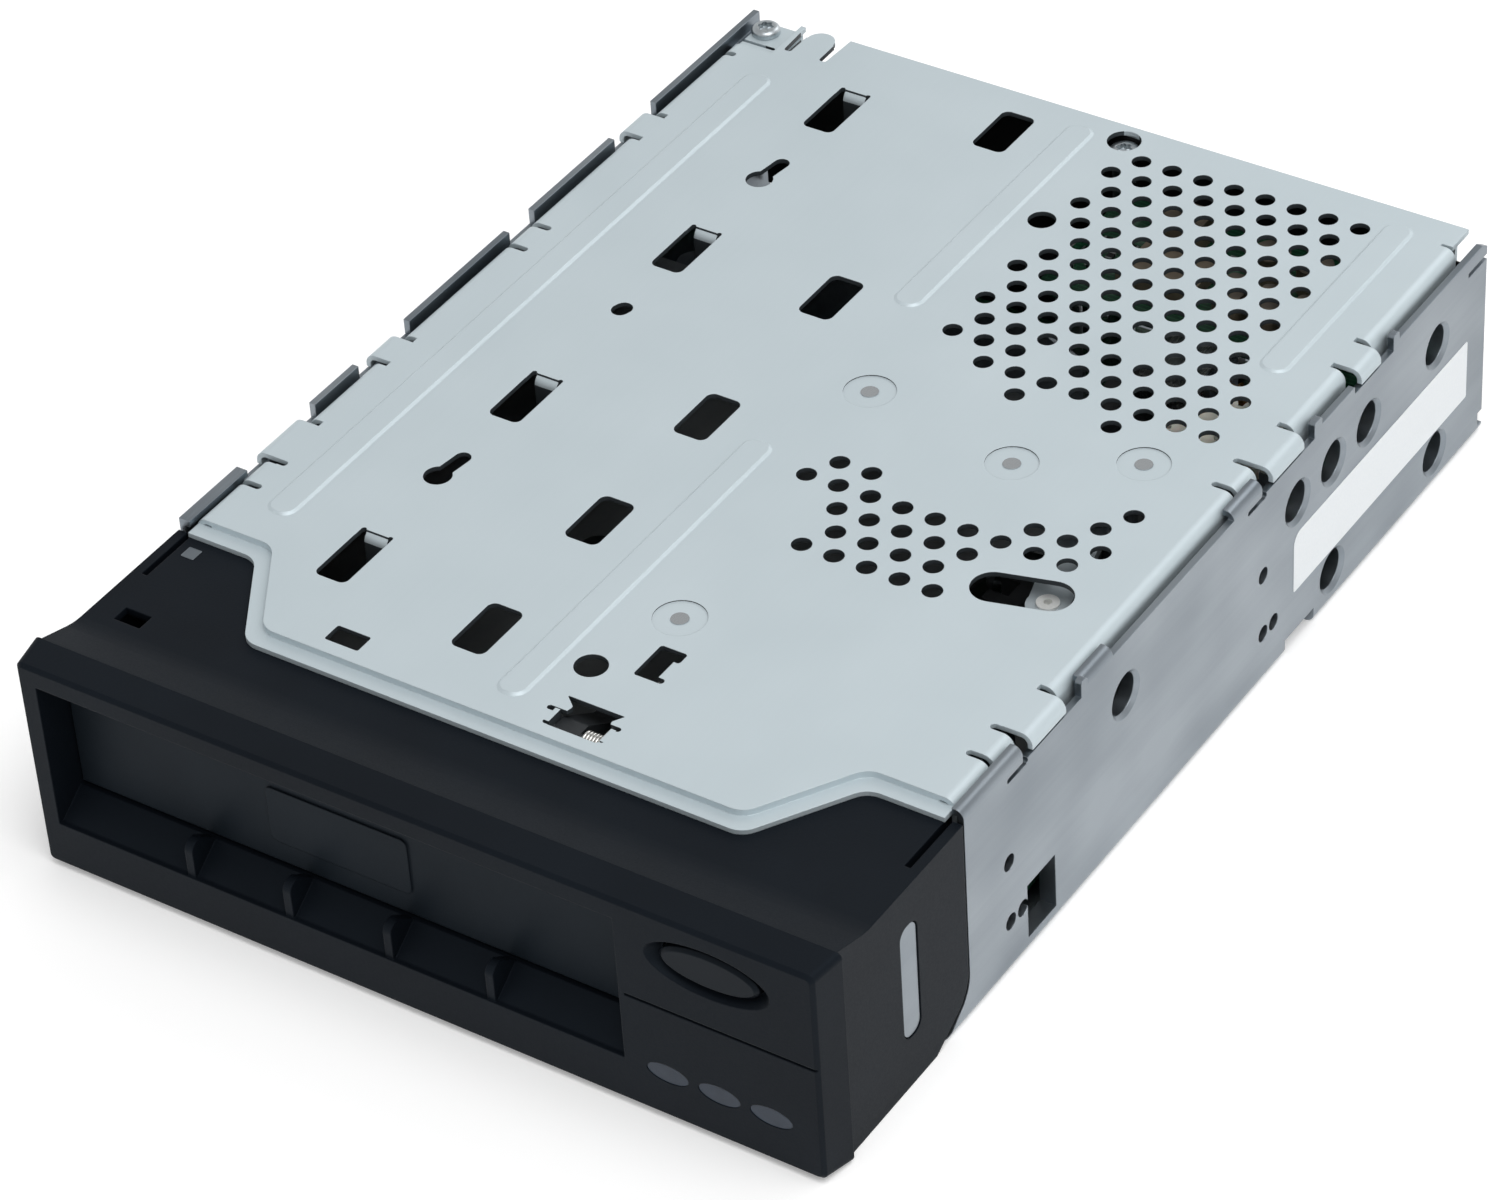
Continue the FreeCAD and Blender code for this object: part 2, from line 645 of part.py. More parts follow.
def hold_down_spring():
    x0 = spring_hole[0] + 5.4
    radius = hold_pin_radius + 0.3 + spring_wire
    d = hold_pin_depth
    z = hold_pin_height
    turns = 6
    end_x = x0 + spring_wire * (2 * turns - 1)
    long_leg = wire_leg((end_x, d, z + radius), (end_x + 0.5, d + 19.5, deck_under - 0.35))
    short_leg = wire_leg((x0 + spring_wire, d - radius, z), (x0 + spring_wire, d - radius + 0.4, z - 2.2))
    return joined([coil(x0, turns, radius, d, z), long_leg, short_leg])


# Bezel
flange_front = half_width + 0.1
recess_left = door_left - panel_gap
recess_right = door_left + door_width + panel_gap
recess_low = 9.7
recess_high = 37.5
sill_height = 13.4
bezel_top = deck_height - border_drop - cover_sheet
bezel_wall = 2.2
roof_under = 37.6
panel_wall = 2.6
tongue_room = 0.1
inner_skin = half_width - tongue_inset - tray_sheet - tongue_room
chamber_left = recess_right + 2.0
fin_pitch = 19.0
fin_first = door_left + 25.7
fin_width = 1.5
button_x = half_width - 18.6
button_z = 33.5
button_half = (8.7, 3.3)
dish_half = (10.9, 4.5)
dish_depth = 2.2
guide_length = 4.0
led_pitch = 9.15
led_first = button_x - 8.5
led_z = 9.8
led_half = (3.7, 1.75)
board_post_x = (button_x - 10.4, button_x + 11.6)
board_post_z = 20.5
front_board_depth = 12.0
front_board_sheet = 1.2
door_front = door_recess
door_pin_depth = door_recess + hinge_setback
left_pin = (recess_left - 2.8, recess_left + 12.8)
right_pin = (recess_right - 7.2, recess_right + 1.8)


def lip_wire(half, low, high, d, radius):
    wire = rounded_loop(rect(-half, half, low, high, radius))
    wire.Placement = FreeCAD.Placement(vec(0, back(d), 0), seen_from_front)
    return wire


def ellipse_wire(x, z, half_x, half_z, d):
    wire = Part.Wire(Part.Ellipse(vec(0, 0, 0), half_x, half_z).toShape())
    wire.Placement = FreeCAD.Placement(vec(x, back(d), z), seen_from_front)
    return wire


def bezel_shell():
    flare = half_width + bezel_flare
    edge = 0.6
    lip_front = Part.makeLoft([lip_wire(flange_front - edge, 0.8 + edge, bezel_height - 0.4 - edge, 0, 0.8),
                               lip_wire(flange_front, 0.8, bezel_height - 0.4, edge, 1.2)], True)
    lip_back = Part.makeLoft([lip_wire(flange_front, 0.8, bezel_height - 0.4, edge, 1.2),
                              lip_wire(flare, 0, bezel_height, bezel_lip, 1.2)], True)
    nose = [(bezel_lip - 0.1, 0.1), (floor_front - panel_gap, 0.1), (wall_front - panel_gap, 5.9, 7.0),
            (wall_front - panel_gap, bezel_top), (bezel_lip + 8, bezel_top, 12.0),
            (bezel_lip - 0.1, bezel_height - 0.3)]
    body = side_profile(nose, -half_width, half_width)
    return lip_front.fuse([lip_back, body])


def door_way():
    """Recess, ramp and tunnel that the cartridge passes through."""
    deep = wall_front + 1
    outline = [(-1, recess_low), (0.9, recess_low, 0.6), (door_front - 0.3, sill_height),
               (door_front + 5.5, sill_height),
               (door_front + 17.5, bay_floor - 0.2), (deep, bay_floor - 0.2), (deep, roof_under),
               (bezel_lip, roof_under), (bezel_lip, recess_high), (-1, recess_high)]
    return side_profile(outline, recess_left, recess_right)


def fin(x):
    outline = [(0.4, recess_low - 0.5), (0.4, 15.8, 1.6), (2.6, 16.4, 1.4),
               (door_front - 0.4, sill_height + 0.4),
               (door_front - 0.4, recess_low - 0.5)]
    return side_profile(outline, x - fin_width / 2, x + fin_width / 2)


def front_bezel():
    body = bezel_shell()
    deep = wall_front + 1
    under = [(2.2, bezel_wall), (deep, bezel_wall), (deep, bay_floor - 2.2),
             (door_front + 17.5, bay_floor - 2.2),
             (door_front + 5.5, sill_height - 2.2), (door_front + 0.1, sill_height - 2.2),
             (2.2, recess_low - 1.8)]
    tools = [door_way(), side_profile(under, recess_left, recess_right)]
    tools.append(box(chamber_left, inner_skin - 1.0, panel_wall, deep, bezel_wall, roof_under))
    tools.append(plate(cover_outline(border_width + 1.7, 90, 90), roof_under - 0.5, bezel_height))
    body = body.cut(tools)
    adds = [fin(fin_first + fin_pitch * k) for k in range(4)]
    guide = ellipse_prism(button_x, button_z, dish_half[0] + 0.6, dish_half[1] - 0.2, panel_wall - 0.1,
                          guide_length)
    adds.append(guide.common(box(0, 80, 0, 20, 0, roof_under)))
    for x in board_post_x:
        adds.append(cyl(2.2, front_board_depth - panel_wall + 0.1, x, panel_wall - 0.1, board_post_z, "y"))
    body = body.fuse(adds)
    tools = []
    for x in board_post_x:
        tools.append(cyl(0.9, 6, x, front_board_depth - 5, board_post_z, "y"))
    tools.append(Part.makeLoft([ellipse_wire(button_x, button_z, dish_half[0] + 0.2, dish_half[1] + 0.1,
                                             -0.2),
                                ellipse_wire(button_x, button_z, button_half[0] + 0.5, button_half[1] + 0.4,
                                             dish_depth)], True))
    tools.append(ellipse_prism(button_x, button_z, button_half[0] + seat_gap, button_half[1] + seat_gap, -1,
                               9))
    for k in range(3):
        tools.append(ellipse_prism(led_first + led_pitch * k, led_z, led_half[0], led_half[1], -1,
                                   panel_wall + 1))
    tools.append(box(recess_right + 1, flange_front + 1, -1, 0.35, 22.75, 23.25))
    pocket = box(inner_skin, half_width - tongue_inset + tongue_room, 20.5, deep, 7.5, 33.5)
    opening = side_profile(rect(side_slot_front, side_slot_front + side_slot_length, side_slot_low,
                                side_slot_high, 2.0),
                           half_width - tongue_inset, half_width + 1)
    tools += both_sides(pocket)
    tools += both_sides(opening)
    tools += both_sides(box(70.2, 71.3, 29.4, deep, 36.0, 45))
    tools.append(box(-68.1, -63.0, 18.2, 21.4, roof_under - 1, 45))
    tools.append(cyl(hinge_pin_radius, left_pin[1] - left_pin[0], left_pin[0], door_pin_depth, hinge_height,
                     "x"))
    tools.append(cyl(hinge_pin_radius, right_pin[1] - right_pin[0], right_pin[0], door_pin_depth,
                     hinge_height, "x"))
    return body.cut(tools).removeSplitter()


def door_hinge_pins():
    pins = []
    for x0, x1 in (left_pin, right_pin):
        pins.append(cyl(hinge_pin_radius, x1 - x0, x0, door_pin_depth, hinge_height, "x"))
    return group(pins)


def door_flap():
    x0 = door_left
    x1 = door_left + door_width
    top = door_bottom + door_height
    front = door_front
    rear = door_front + door_thickness
    panel = side_profile([(front, door_bottom, 0.4), (rear, door_bottom, 0.4), (rear, top - 0.4, 0.6),
                          (front, top - 0.4, 0.6)],
                         x0, x1)
    patch = rect(x0 + 38.0, x0 + 64.8, door_bottom + 4.5, door_bottom + 15.3, 1.2)
    adds = [front_profile(patch, front - 0.35, front + 0.5)]
    for share in (0.22, 0.49, 0.83):
        x = x0 + share * door_width
        adds.append(box(x, x + 1.2, rear - 0.1, rear + 0.6, door_bottom + 1, door_bottom + 17))
    left_end = left_pin[1] - 3.8
    for a, b in ((x0 + 0.2, left_end), (right_pin[0], x1 - 0.2)):
        adds.append(cyl(1.65, b - a, a, door_pin_depth, hinge_height, "x"))
    body = panel.fuse(adds)
    tools = [cyl(hinge_pin_radius + running_fit, chassis_width, -half_width, door_pin_depth, hinge_height,
                 "x")]
    tools.append(box(left_end, left_pin[1] + 0.8, front - 1, rear + 2, hinge_height - 2.4, top + 1))
    return body.cut(tools).removeSplitter()


def door_spring():
    x0 = left_pin[1] - 3.5
    radius = hinge_pin_radius + 0.15 + spring_wire
    turns = 5
    end_x = x0 + spring_wire * (2 * turns - 1)
    root = radius - 0.05
    back_leg = wire_leg((end_x, door_pin_depth, hinge_height + root),
                        (end_x + 0.4, door_pin_depth + 7, roof_under - 0.35))
    down_leg = wire_leg((x0 + spring_wire, door_pin_depth + root, hinge_height),
                        (x0 + spring_wire, door_front + door_thickness + 0.4, hinge_height - 8))
    return joined([coil(x0, turns, radius, door_pin_depth, hinge_height), back_leg, down_leg])


def eject_button():
    crown = Part.makeLoft([ellipse_wire(button_x, button_z, button_half[0] - 0.7, button_half[1] - 0.6,
                                        0.35),
                           ellipse_wire(button_x, button_z, button_half[0], button_half[1], 0.9)], True)
    head = ellipse_prism(button_x, button_z, button_half[0], button_half[1], 0.9, guide_length + 0.05)
    flange = ellipse_prism(button_x, button_z, button_half[0] + 1.0, button_half[1] + 0.4,
                           guide_length + 0.05,
                           guide_length + 1.25)
    stem = cyl(1.4, 9.3 - guide_length - 1.0, button_x, guide_length + 1.0, button_z, "y")
    return joined([crown, head, flange, stem])


def eject_switch():
    housing = box(button_x - 3.1, button_x + 3.1, 8.9, front_board_depth, button_z - 3.1, button_z + 3.1)
    return housing.cut(cyl(1.4 + running_fit, 2.5, button_x, 8.8, button_z, "y"))


def eject_spring():
    """Three open turns between the button's flange and the switch."""
    turns = []
    start = guide_length + 1.35 + spring_wire
    pitch = (8.8 - spring_wire - start) / 2
    for k in range(3):
        turns.append(Part.makeTorus(2.1, spring_wire, vec(button_x, back(start + pitch * k), button_z),
                                    vec(0, 1, 0)))
    return group(turns)


def led_light_pipes():
    pipes = []
    for k in range(3):
        x = led_first + led_pitch * k
        lens = ellipse_prism(x, led_z, led_half[0], led_half[1], 0.1, panel_wall)
        foot = ellipse_prism(x, led_z, led_half[0] + 0.4, led_half[1] + 0.5, panel_wall, panel_wall + 1)
        bar = cyl(1.3, 10.0 - panel_wall - 0.9, x, panel_wall + 0.9, led_z, "y")
        pipes.append(joined([lens, foot, bar]))
    return group(pipes)


def status_leds():
    lamps = []
    for k in range(3):
        x = led_first + led_pitch * k
        lamps.append(box(x - 1.5, x + 1.5, 10.2, front_board_depth, led_z - 1.0, led_z + 1.0))
    return group(lamps)


def front_board():
    low = 4.2
    sheet = box(chamber_left + 0.4, inner_skin - 1.4, front_board_depth,
                front_board_depth + front_board_sheet, low, 36.8)
    return sheet.cut([cyl(1.1, 4, x, front_board_depth - 1, board_post_z, "y") for x in board_post_x])


def front_board_screws():
    screws = []
    rear = front_board_depth + front_board_sheet
    for x in board_post_x:
        head = cyl(1.9, 1.3, x, rear, board_post_z, "y")
        screws.append(head.fuse(cyl(0.9, 5.2, x, rear - 5.1, board_post_z, "y")).removeSplitter())
    return group(screws)


def front_panel_cable():
    """Flat ribbon from the front board back to the main board."""
    high = 8.6
    low = board_top + 0.8
    thick = 0.5
    start = front_board_depth + front_board_sheet
    end = 66.0
    outline = [(start, high), (38, high, 2.0), (44, low, 2.0), (end, low), (end, low - thick),
               (44, low - thick, 2.0),
               (38, high - thick, 2.0), (start, high - thick)]
    return side_profile(outline, 45.6, 54.2)


# Die-cast base that carries the rails, the sliding engine and the loading gear
base_front = 44.5
base_rear = 168.0
base_under = bay_floor - floor_plate
rib_depth = 2.0
notch_left = 28.5
notch_front = 56.5
notch_rear = 127.5
rod_radius = 1.5
rod_z = 9.6
rod_depths = (60.2, 123.8)
rod_left = 24.5
rod_right = inner_half - 2.5
lug_width = 4.0
cartridge_left = 5.4 - inner_half
cartridge_right = cartridge_left + cartridge_width
rail_gap = 0.2
rail_wall = 3.0
rail_height = cartridge_height + 1.9
rail_reach = 2.0
rail_rear = 163.0
stop_depth = 163.5
lever_pivot = (46.0, 134.0)
gear_module = 0.6
sector_teeth = 46
pinion_teeth = 12
wheel_teeth = 32
gear_backlash = 0.2
pressure_angle = math.radians(20)
gear_face = 2.4
sector_z = 31.0
wheel_low = sector_z + gear_face + 0.3
wheel_face = gear_face - 0.4
worm_z = wheel_low + wheel_face / 2
sector_pitch_radius = gear_module * sector_teeth / 2
pinion_pitch_radius = gear_module * pinion_teeth / 2
wheel_pitch_radius = gear_module * wheel_teeth / 2
gear_distance = sector_pitch_radius + pinion_pitch_radius
gear_heading = math.radians(44)
gear_centre = (lever_pivot[0] + gear_distance * math.cos(gear_heading),
               lever_pivot[1] + gear_distance * math.sin(gear_heading))
pivot_radius = 1.5
boss_radius = 3.0
boss_height = 3.0
worm_radius = 2.4
worm_gap = 0.15
worm_depth = gear_centre[1] + wheel_pitch_radius + gear_module + worm_radius + worm_gap
motor_radius = 6.0
motor_left = cartridge_right + rail_gap + rail_wall + 0.4
motor_length = 11.4
bracket_sheet = 1.0
bracket_front = 4.3


def base_casting():
    outline = [(-base_half, base_front, 2.0), (base_half, base_front, 2.0), (base_half, notch_front),
               (notch_left, notch_front, 3.0), (notch_left, notch_rear, 3.0), (base_half, notch_rear),
               (base_half, base_rear, 2.0), (-base_half, base_rear, 2.0)]
    body = plate(outline, base_under, bay_floor)
    rib_low = base_under - rib_depth
    adds = []
    for x in (-44.0, -18.0, 8.0):
        adds.append(box(x, x + 1.6, base_front + 2, base_rear - 2, rib_low, base_under))
    for d in (72.0, 100.0, 128.0):
        adds.append(box(-base_half + 2, notch_left - 2, d, d + 1.6, rib_low, base_under))
    for x, d in base_fixings:
        adds.append(Part.makeCone(3.4, 4.2, base_under - tray_sheet, vec(x, back(d), tray_sheet),
                                  vec(0, 0, 1)))
    lug_low = rod_z - rod_radius - 2.2
    for d, towards in ((rod_depths[0], notch_front - 5), (rod_depths[1], notch_rear + 5)):
        start = min(d - 3.2, towards)
        end = max(d + 3.2, towards)
        adds.append(box(rod_left, rod_left + lug_width, start, end, lug_low, base_under + 1))
        adds.append(box(rod_right - lug_width, rod_right, start, end, lug_low, base_under + 1))
    for x, d in (lever_pivot, gear_centre):
        adds.append(cyl(boss_radius, boss_height + 1, x, d, bay_floor - 1))
    body = body.fuse(adds)
    tools = []
    for d in rod_depths:
        tools.append(cyl(rod_radius, rod_right - rod_left + 2, rod_left - 1, d, rod_z, "x"))
    for x, d in (lever_pivot, gear_centre):
        tools.append(cyl(pivot_radius, boss_height + floor_plate + 1, x, d, base_under - 0.5))
    for x, d in base_fixings:
        tools.append(cyl(screw_radius - 0.2, 9.5, x, d, 0))
    for x in (-52.0, -30.0):
        tools.append(plate(slot(x, 80, x, 94, 3.0), base_under - 1, bay_floor + 1))
        tools.append(plate(slot(x, 110, x, 124, 3.0), base_under - 1, bay_floor + 1))
    return body.cut(tools).removeSplitter()


def base_screws():
    screws = []
    inset = 0.06
    for x, d in base_fixings:
        shank = cyl(screw_radius - 0.2, 9.0, x, d, inset)
        screws.append(shank.fuse(countersink(x, d, inset)).removeSplitter())
    return group(screws)


def rail_profile(edge, way):
    """Groove that holds one edge of the cartridge, open towards the bay."""
    inner = edge + way * rail_gap
    outer = inner + way * rail_wall
    lip = inner - way * rail_reach
    top = bay_floor + rail_height
    return [(outer, bay_floor), (inner, bay_floor), (inner, top - 1.4), (lip, top - 1.4), (lip, top),
            (outer, top, 1.0)]


def flared_rail(edge, way, d0, d1):
    """One rail with its groove widened to the front."""
    rail = front_profile(rail_profile(edge, way), d0, d1)
    inner = edge + way * rail_gap
    wedge = plate([(inner - way, d0 - 1), (inner + way * 1.6, d0 - 1), (inner - way, d0 + 7)],
                  bay_floor - 1, bay_floor + rail_height - 1.4)
    return rail.cut(wedge)


def left_cartridge_rail():
    return flared_rail(cartridge_left, -1, base_front + 0.5, rail_rear)


def right_cartridge_rails():
    front = flared_rail(cartridge_right, 1, base_front + 0.5, notch_front)
    rear = flared_rail(cartridge_right, 1, notch_rear, rail_rear)
    return group([front, rear])


def cartridge_stop():
    """Bent sheet that the rear edge of the cartridge meets."""
    foot = box(-52.0, 22.0, stop_depth, base_rear - 0.5, bay_floor, bay_floor + bracket_sheet)
    wall = front_profile([(-52.0, bay_floor), (22.0, bay_floor), (22.0, 26.0, 3.0), (14.0, 30.0, 3.0),
                          (-44.0, 30.0, 3.0), (-52.0, 26.0, 3.0)], stop_depth, stop_depth + bracket_sheet)
    return foot.fuse(wall).removeSplitter()


def engine_rods():
    return group([cyl(rod_radius, rod_right - rod_left, rod_left, d, rod_z, "x") for d in rod_depths])


# Engine that slides sideways into the cartridge with the capstan and the head
engine_left = 34.0
engine_right = 64.2
engine_front = 58.2
engine_rear = 125.8
engine_under = 12.4
engine_top = 14.9
capstan_centre = (45.0, 90.0)
shaft_radius = 1.5
bush_radius = 3.0
hub_radius = 4.4
stator_radius = 12.4
rotor_radius = 14.6
rotor_low = 5.8
stator_low = 8.0
stator_poles = 9
roller_radius = 5.4
head_screw_centre = (54.0, 69.5)
head_rods = ((46.0, 65.0), (46.0, 74.5))
head_rod_radius = 1.0
screw_outer = 1.3
carriage_low = 19.4
carriage_height = 9.0
head_tower_top = 37.2
fork_centre = (55.9, 94.9)
fork_height = 33.6
fork_pin_radius = 1.1
fork_fit = 0.08
lever_low = 34.6
lever_sheet = 1.6


def engine_plate():
    body = plate(rect(engine_left, engine_right, engine_front, engine_rear, 2.0), engine_under, engine_top)
    adds = []
    for d in rod_depths:
        for x0, x1 in ((36.0, 44.0), (55.0, 63.0)):
            sleeve = cyl(rod_radius + 1.5, x1 - x0, x0, d, rod_z, "x")
            web = box(x0, x1, max(d - 1.8, engine_front), min(d + 1.8, engine_rear), rod_z + 1,
                      engine_under + 0.2)
            adds += [sleeve, web]
    x, d = capstan_centre
    adds.append(cyl(hub_radius, engine_under - stator_low + 0.2, x, d, stator_low))
    body = body.fuse(adds)
    tools = [cyl(rod_radius + running_fit, 60, 20, depth, rod_z, "x") for depth in rod_depths]
    tools.append(cyl(bush_radius, 12, x, d, stator_low - 1))
    tools.append(cyl(screw_outer + 0.6, 6, head_screw_centre[0], head_screw_centre[1], engine_under - 1))
    for rod_x, rod_d in head_rods:
        tools.append(cyl(head_rod_radius, 6, rod_x, rod_d, engine_under - 1))
    tools.append(plate(slot(40, 106, 56, 106, 2.6), engine_under - 1, engine_top + 1))
    return body.cut(tools).removeSplitter()


def capstan_bushes():
    x, d = capstan_centre
    low = ring(bush_radius, shaft_radius + running_fit, 2.2, x, d, stator_low)
    high = ring(bush_radius, shaft_radius + running_fit, 2.2, x, d, engine_top - 2.2)
    return group([low, high])


def capstan_stator():
    x, d = capstan_centre
    core = ring(hub_radius + 2.2, hub_radius + press_gap, 2.4, x, d, stator_low + 0.5)
    arms = []
    for k in range(stator_poles):
        arm = box(x + hub_radius + 1, x + stator_radius, d - 0.9, d + 0.9, stator_low + 0.5,
                  stator_low + 2.9)
        shoe = box(x + stator_radius - 1.0, x + stator_radius, d - 3.0, d + 3.0, stator_low + 0.5,
                   stator_low + 2.9)
        pole = arm.fuse(shoe)
        pole.rotate(vec(x, back(d), 0), vec(0, 0, 1), 360 / stator_poles * k)
        arms.append(pole)
    return core.fuse(arms).removeSplitter()


def stator_coils():
    x, d = capstan_centre
    coils = []
    for k in range(stator_poles):
        outer = box(x + hub_radius + 2.9, x + stator_radius - 1.3, d - 1.6, d + 1.6, stator_low + 0.1,
                    stator_low + 3.3)
        inner = box(x + hub_radius + 1, x + stator_radius, d - 0.9, d + 0.9, stator_low + 0.5,
                    stator_low + 2.9)
        coil_body = outer.cut(inner)
        coil_body.rotate(vec(x, back(d), 0), vec(0, 0, 1), 360 / stator_poles * k)
        coils.append(coil_body)
    return group(coils)


def capstan_rotor():
    x, d = capstan_centre
    cup = cyl(rotor_radius, engine_under - 1.0 - rotor_low, x, d, rotor_low)
    hollow = cyl(stator_radius + 0.8, 10, x, d, rotor_low + 1.4)
    return cup.cut([hollow, cyl(shaft_radius, 10, x, d, rotor_low - 1)])


def capstan_shaft():
    x, d = capstan_centre
    return cyl(shaft_radius, 22.6 - rotor_low, x, d, rotor_low)


def drive_roller():
    """Tyred roller that turns the cartridge's own drive wheel."""
    x, d = capstan_centre
    low = engine_top + 1.4
    profile = [(shaft_radius, low), (3.2, low), (3.2, low + 0.8), (roller_radius, low + 0.8, 0.4),
               (roller_radius, low + 6.2, 0.4), (2.8, low + 6.2), (2.8, low + 7.0),
               (shaft_radius, low + 7.0)]
    face = Part.Face(rounded_loop(profile))
    face.Placement = FreeCAD.Placement(vec(x, back(d), 0), seen_from_front)
    return face.revolve(vec(x, back(d), 0), vec(0, 0, 1), 360)


def head_stepper():
    x, d = head_screw_centre
    return cyl(6.0, engine_under - 5.8, x, d, 5.8)


def head_tower():
    """Channel that holds the upper ends of the lead screw and the guide rods."""
    x0 = 42.6
    x1 = 60.4
    d0 = 62.8
    d1 = 76.8
    outline = [(x1 - 1.4, engine_top), (x1, engine_top), (x1, head_tower_top, 2.0), (x0, head_tower_top),
               (x0, head_tower_top - 1.4), (x1 - 1.4, head_tower_top - 1.4, 0.6)]
    body = front_profile(outline, d0, d1)
    body = body.fuse(box(x1 - 5.5, x1, d0, d1, engine_top, engine_top + 1.4)).removeSplitter()
    tools = [cyl(screw_outer + running_fit, 6, head_screw_centre[0], head_screw_centre[1],
                 head_tower_top - 3)]
    tools.append(cyl(screw_outer + 0.6, 4, head_screw_centre[0], head_screw_centre[1], engine_top - 1))
    for x, d in head_rods:
        tools.append(cyl(head_rod_radius, 6, x, d, head_tower_top - 3))
    return body.cut(tools)


def head_guide_rods():
    return group([cyl(head_rod_radius, head_tower_top - engine_under, x, d, engine_under)
                  for x, d in head_rods])


def lead_screw():
    x, d = head_screw_centre
    return cyl(screw_outer, head_tower_top - engine_under - 0.05, x, d, engine_under + 0.05)


def head_carriage():
    low = carriage_low
    high = carriage_low + carriage_height
    body = plate([(40.6, 66.5), (44.0, 66.5), (44.0, 62.9, 1.0), (48.2, 62.9, 1.0), (57.4, 66.6, 1.5),
                  (57.4, 73.6, 1.5),
                  (48.2, 76.6, 1.0), (44.0, 76.6, 1.0), (44.0, 73.0), (40.6, 73.0)], low, high)
    tools = [cyl(screw_outer + running_fit, 12, head_screw_centre[0], head_screw_centre[1], low - 1)]
    for x, d in head_rods:
        tools.append(cyl(head_rod_radius + running_fit, 12, x, d, low - 1))
    tools.append(box(49.0, 51.4, 60, 80, low + 2.4, high + 1))
    return body.cut(tools)


def tape_head():
    """Ferrite head with its crowned face towards the tape."""
    mid = carriage_low + carriage_height / 2
    outline = [(40.6, 65.4), (40.6, 74.2), (38.6, 74.2, 0.6), (37.0, 71.6, 1.2), (37.0, 68.0, 1.2),
               (38.6, 65.4, 0.6)]
    return plate(outline, mid - 4.0, mid + 4.0)


def tape_sensor():
    """Fork of lamp and photocells that reads the holes at the ends of the tape."""
    body = box(40.4, 47.0, 100.0, 108.6, engine_top, engine_top + 13.0)
    return body.cut([box(39, 44.0, 102.4, 106.2, engine_top + 2.5, engine_top + 14)])


def drive_fork():
    """Post on the engine with a slot for the pin of the load lever."""
    x, d = fork_centre
    post = box(x - 2.8, x + 2.8, d - 4.0, d + 4.0, engine_top, fork_height)
    half = fork_pin_radius + fork_fit
    return post.cut([box(x - half, x + half, d - 2.6, d + 2.0, fork_height - 4.0, fork_height + 1)])


# Loading gear: motor, worm, wheel and toothed lever
def involute(angle):
    return math.tan(angle) - angle


def gear_outline(teeth):
    """Points of a spur gear about the origin, from the involute of its flanks."""
    pitch = gear_module * teeth / 2
    base = pitch * math.cos(pressure_angle)
    thickness = math.pi * gear_module / 2 - gear_backlash
    radii = (pitch - 1.25 * gear_module, pitch, pitch + gear_module)
    points = []
    for k in range(teeth):
        middle = 2 * math.pi * k / teeth
        flank = []
        for radius in radii:
            at = math.acos(min(1.0, base / radius))
            flank.append((radius, thickness / (2 * pitch) + involute(pressure_angle) - involute(at)))
        for radius, half in flank:
            points.append((radius * math.cos(middle - half), radius * math.sin(middle - half)))
        for radius, half in reversed(flank):
            points.append((radius * math.cos(middle + half), radius * math.sin(middle + half)))
    return points


def gear_solid(teeth, x, d, z, height, turn):
    outline = gear_outline(teeth)
    wire = Part.makePolygon([vec(px, py, 0) for px, py in outline + outline[:1]])
    solid = Part.Face(wire).extrude(vec(0, 0, height))
    solid.rotate(vec(0, 0, 0), vec(0, 0, 1), turn)
    solid.translate(vec(x, back(d), z))
    return solid


def load_lever():
    """Flat lever with a toothed sector at its pivot end."""
    px, pd = lever_pivot
    x, d = fork_centre
    eye = cyl(4.6, lever_sheet, px, pd, lever_low)
    tip = cyl(3.6, lever_sheet, x, d, lever_low)
    along = vec(x - px, d - pd, 0).normalize()
    side = vec(-along.y, along.x, 0)
    corners = [(px + side.x * 4.4, pd + side.y * 4.4), (px - side.x * 4.4, pd - side.y * 4.4),
               (x - side.x * 3.4, d - side.y * 3.4), (x + side.x * 3.4, d + side.y * 3.4)]
    arm = plate(corners, lever_low, lever_low + lever_sheet)
    hub = cyl(4.6, lever_low - sector_z + 0.2, px, pd, sector_z)
    sector = gear_solid(sector_teeth, px, pd, sector_z, gear_face, math.degrees(gear_heading))
    reach = sector_pitch_radius + 3
    heading = gear_heading
    spread = math.radians(34)
    keep = plate([(px, pd),
                  (px + 2 * reach * math.cos(heading - spread),
                   pd + 2 * reach * math.sin(heading - spread)),
                  (px + 2 * reach * math.cos(heading + spread),
                   pd + 2 * reach * math.sin(heading + spread))],
                 sector_z - 1, lever_low + 1)
    body = joined([eye, tip, arm, hub, sector.common(keep)])
    tools = [cyl(pivot_radius + running_fit, 12, px, pd, sector_z - 1), cyl(1.35, 6, x, d, lever_low - 2)]
    return body.cut(tools)


def lever_rivet():
    """Hollow rivet through the tip of the lever; its shank is the pin in the fork."""
    x, d = fork_centre
    shank = cyl(fork_pin_radius, lever_low - fork_height + 3.0, x, d, fork_height - 3.0)
    barrel = cyl(1.35, lever_sheet, x, d, lever_low)
    rim = cyl(1.9, 0.5, x, d, lever_low + lever_sheet)
    return joined([shank, barrel, rim]).cut(cyl(0.7, 3, x, d, lever_low + lever_sheet - 1.2))


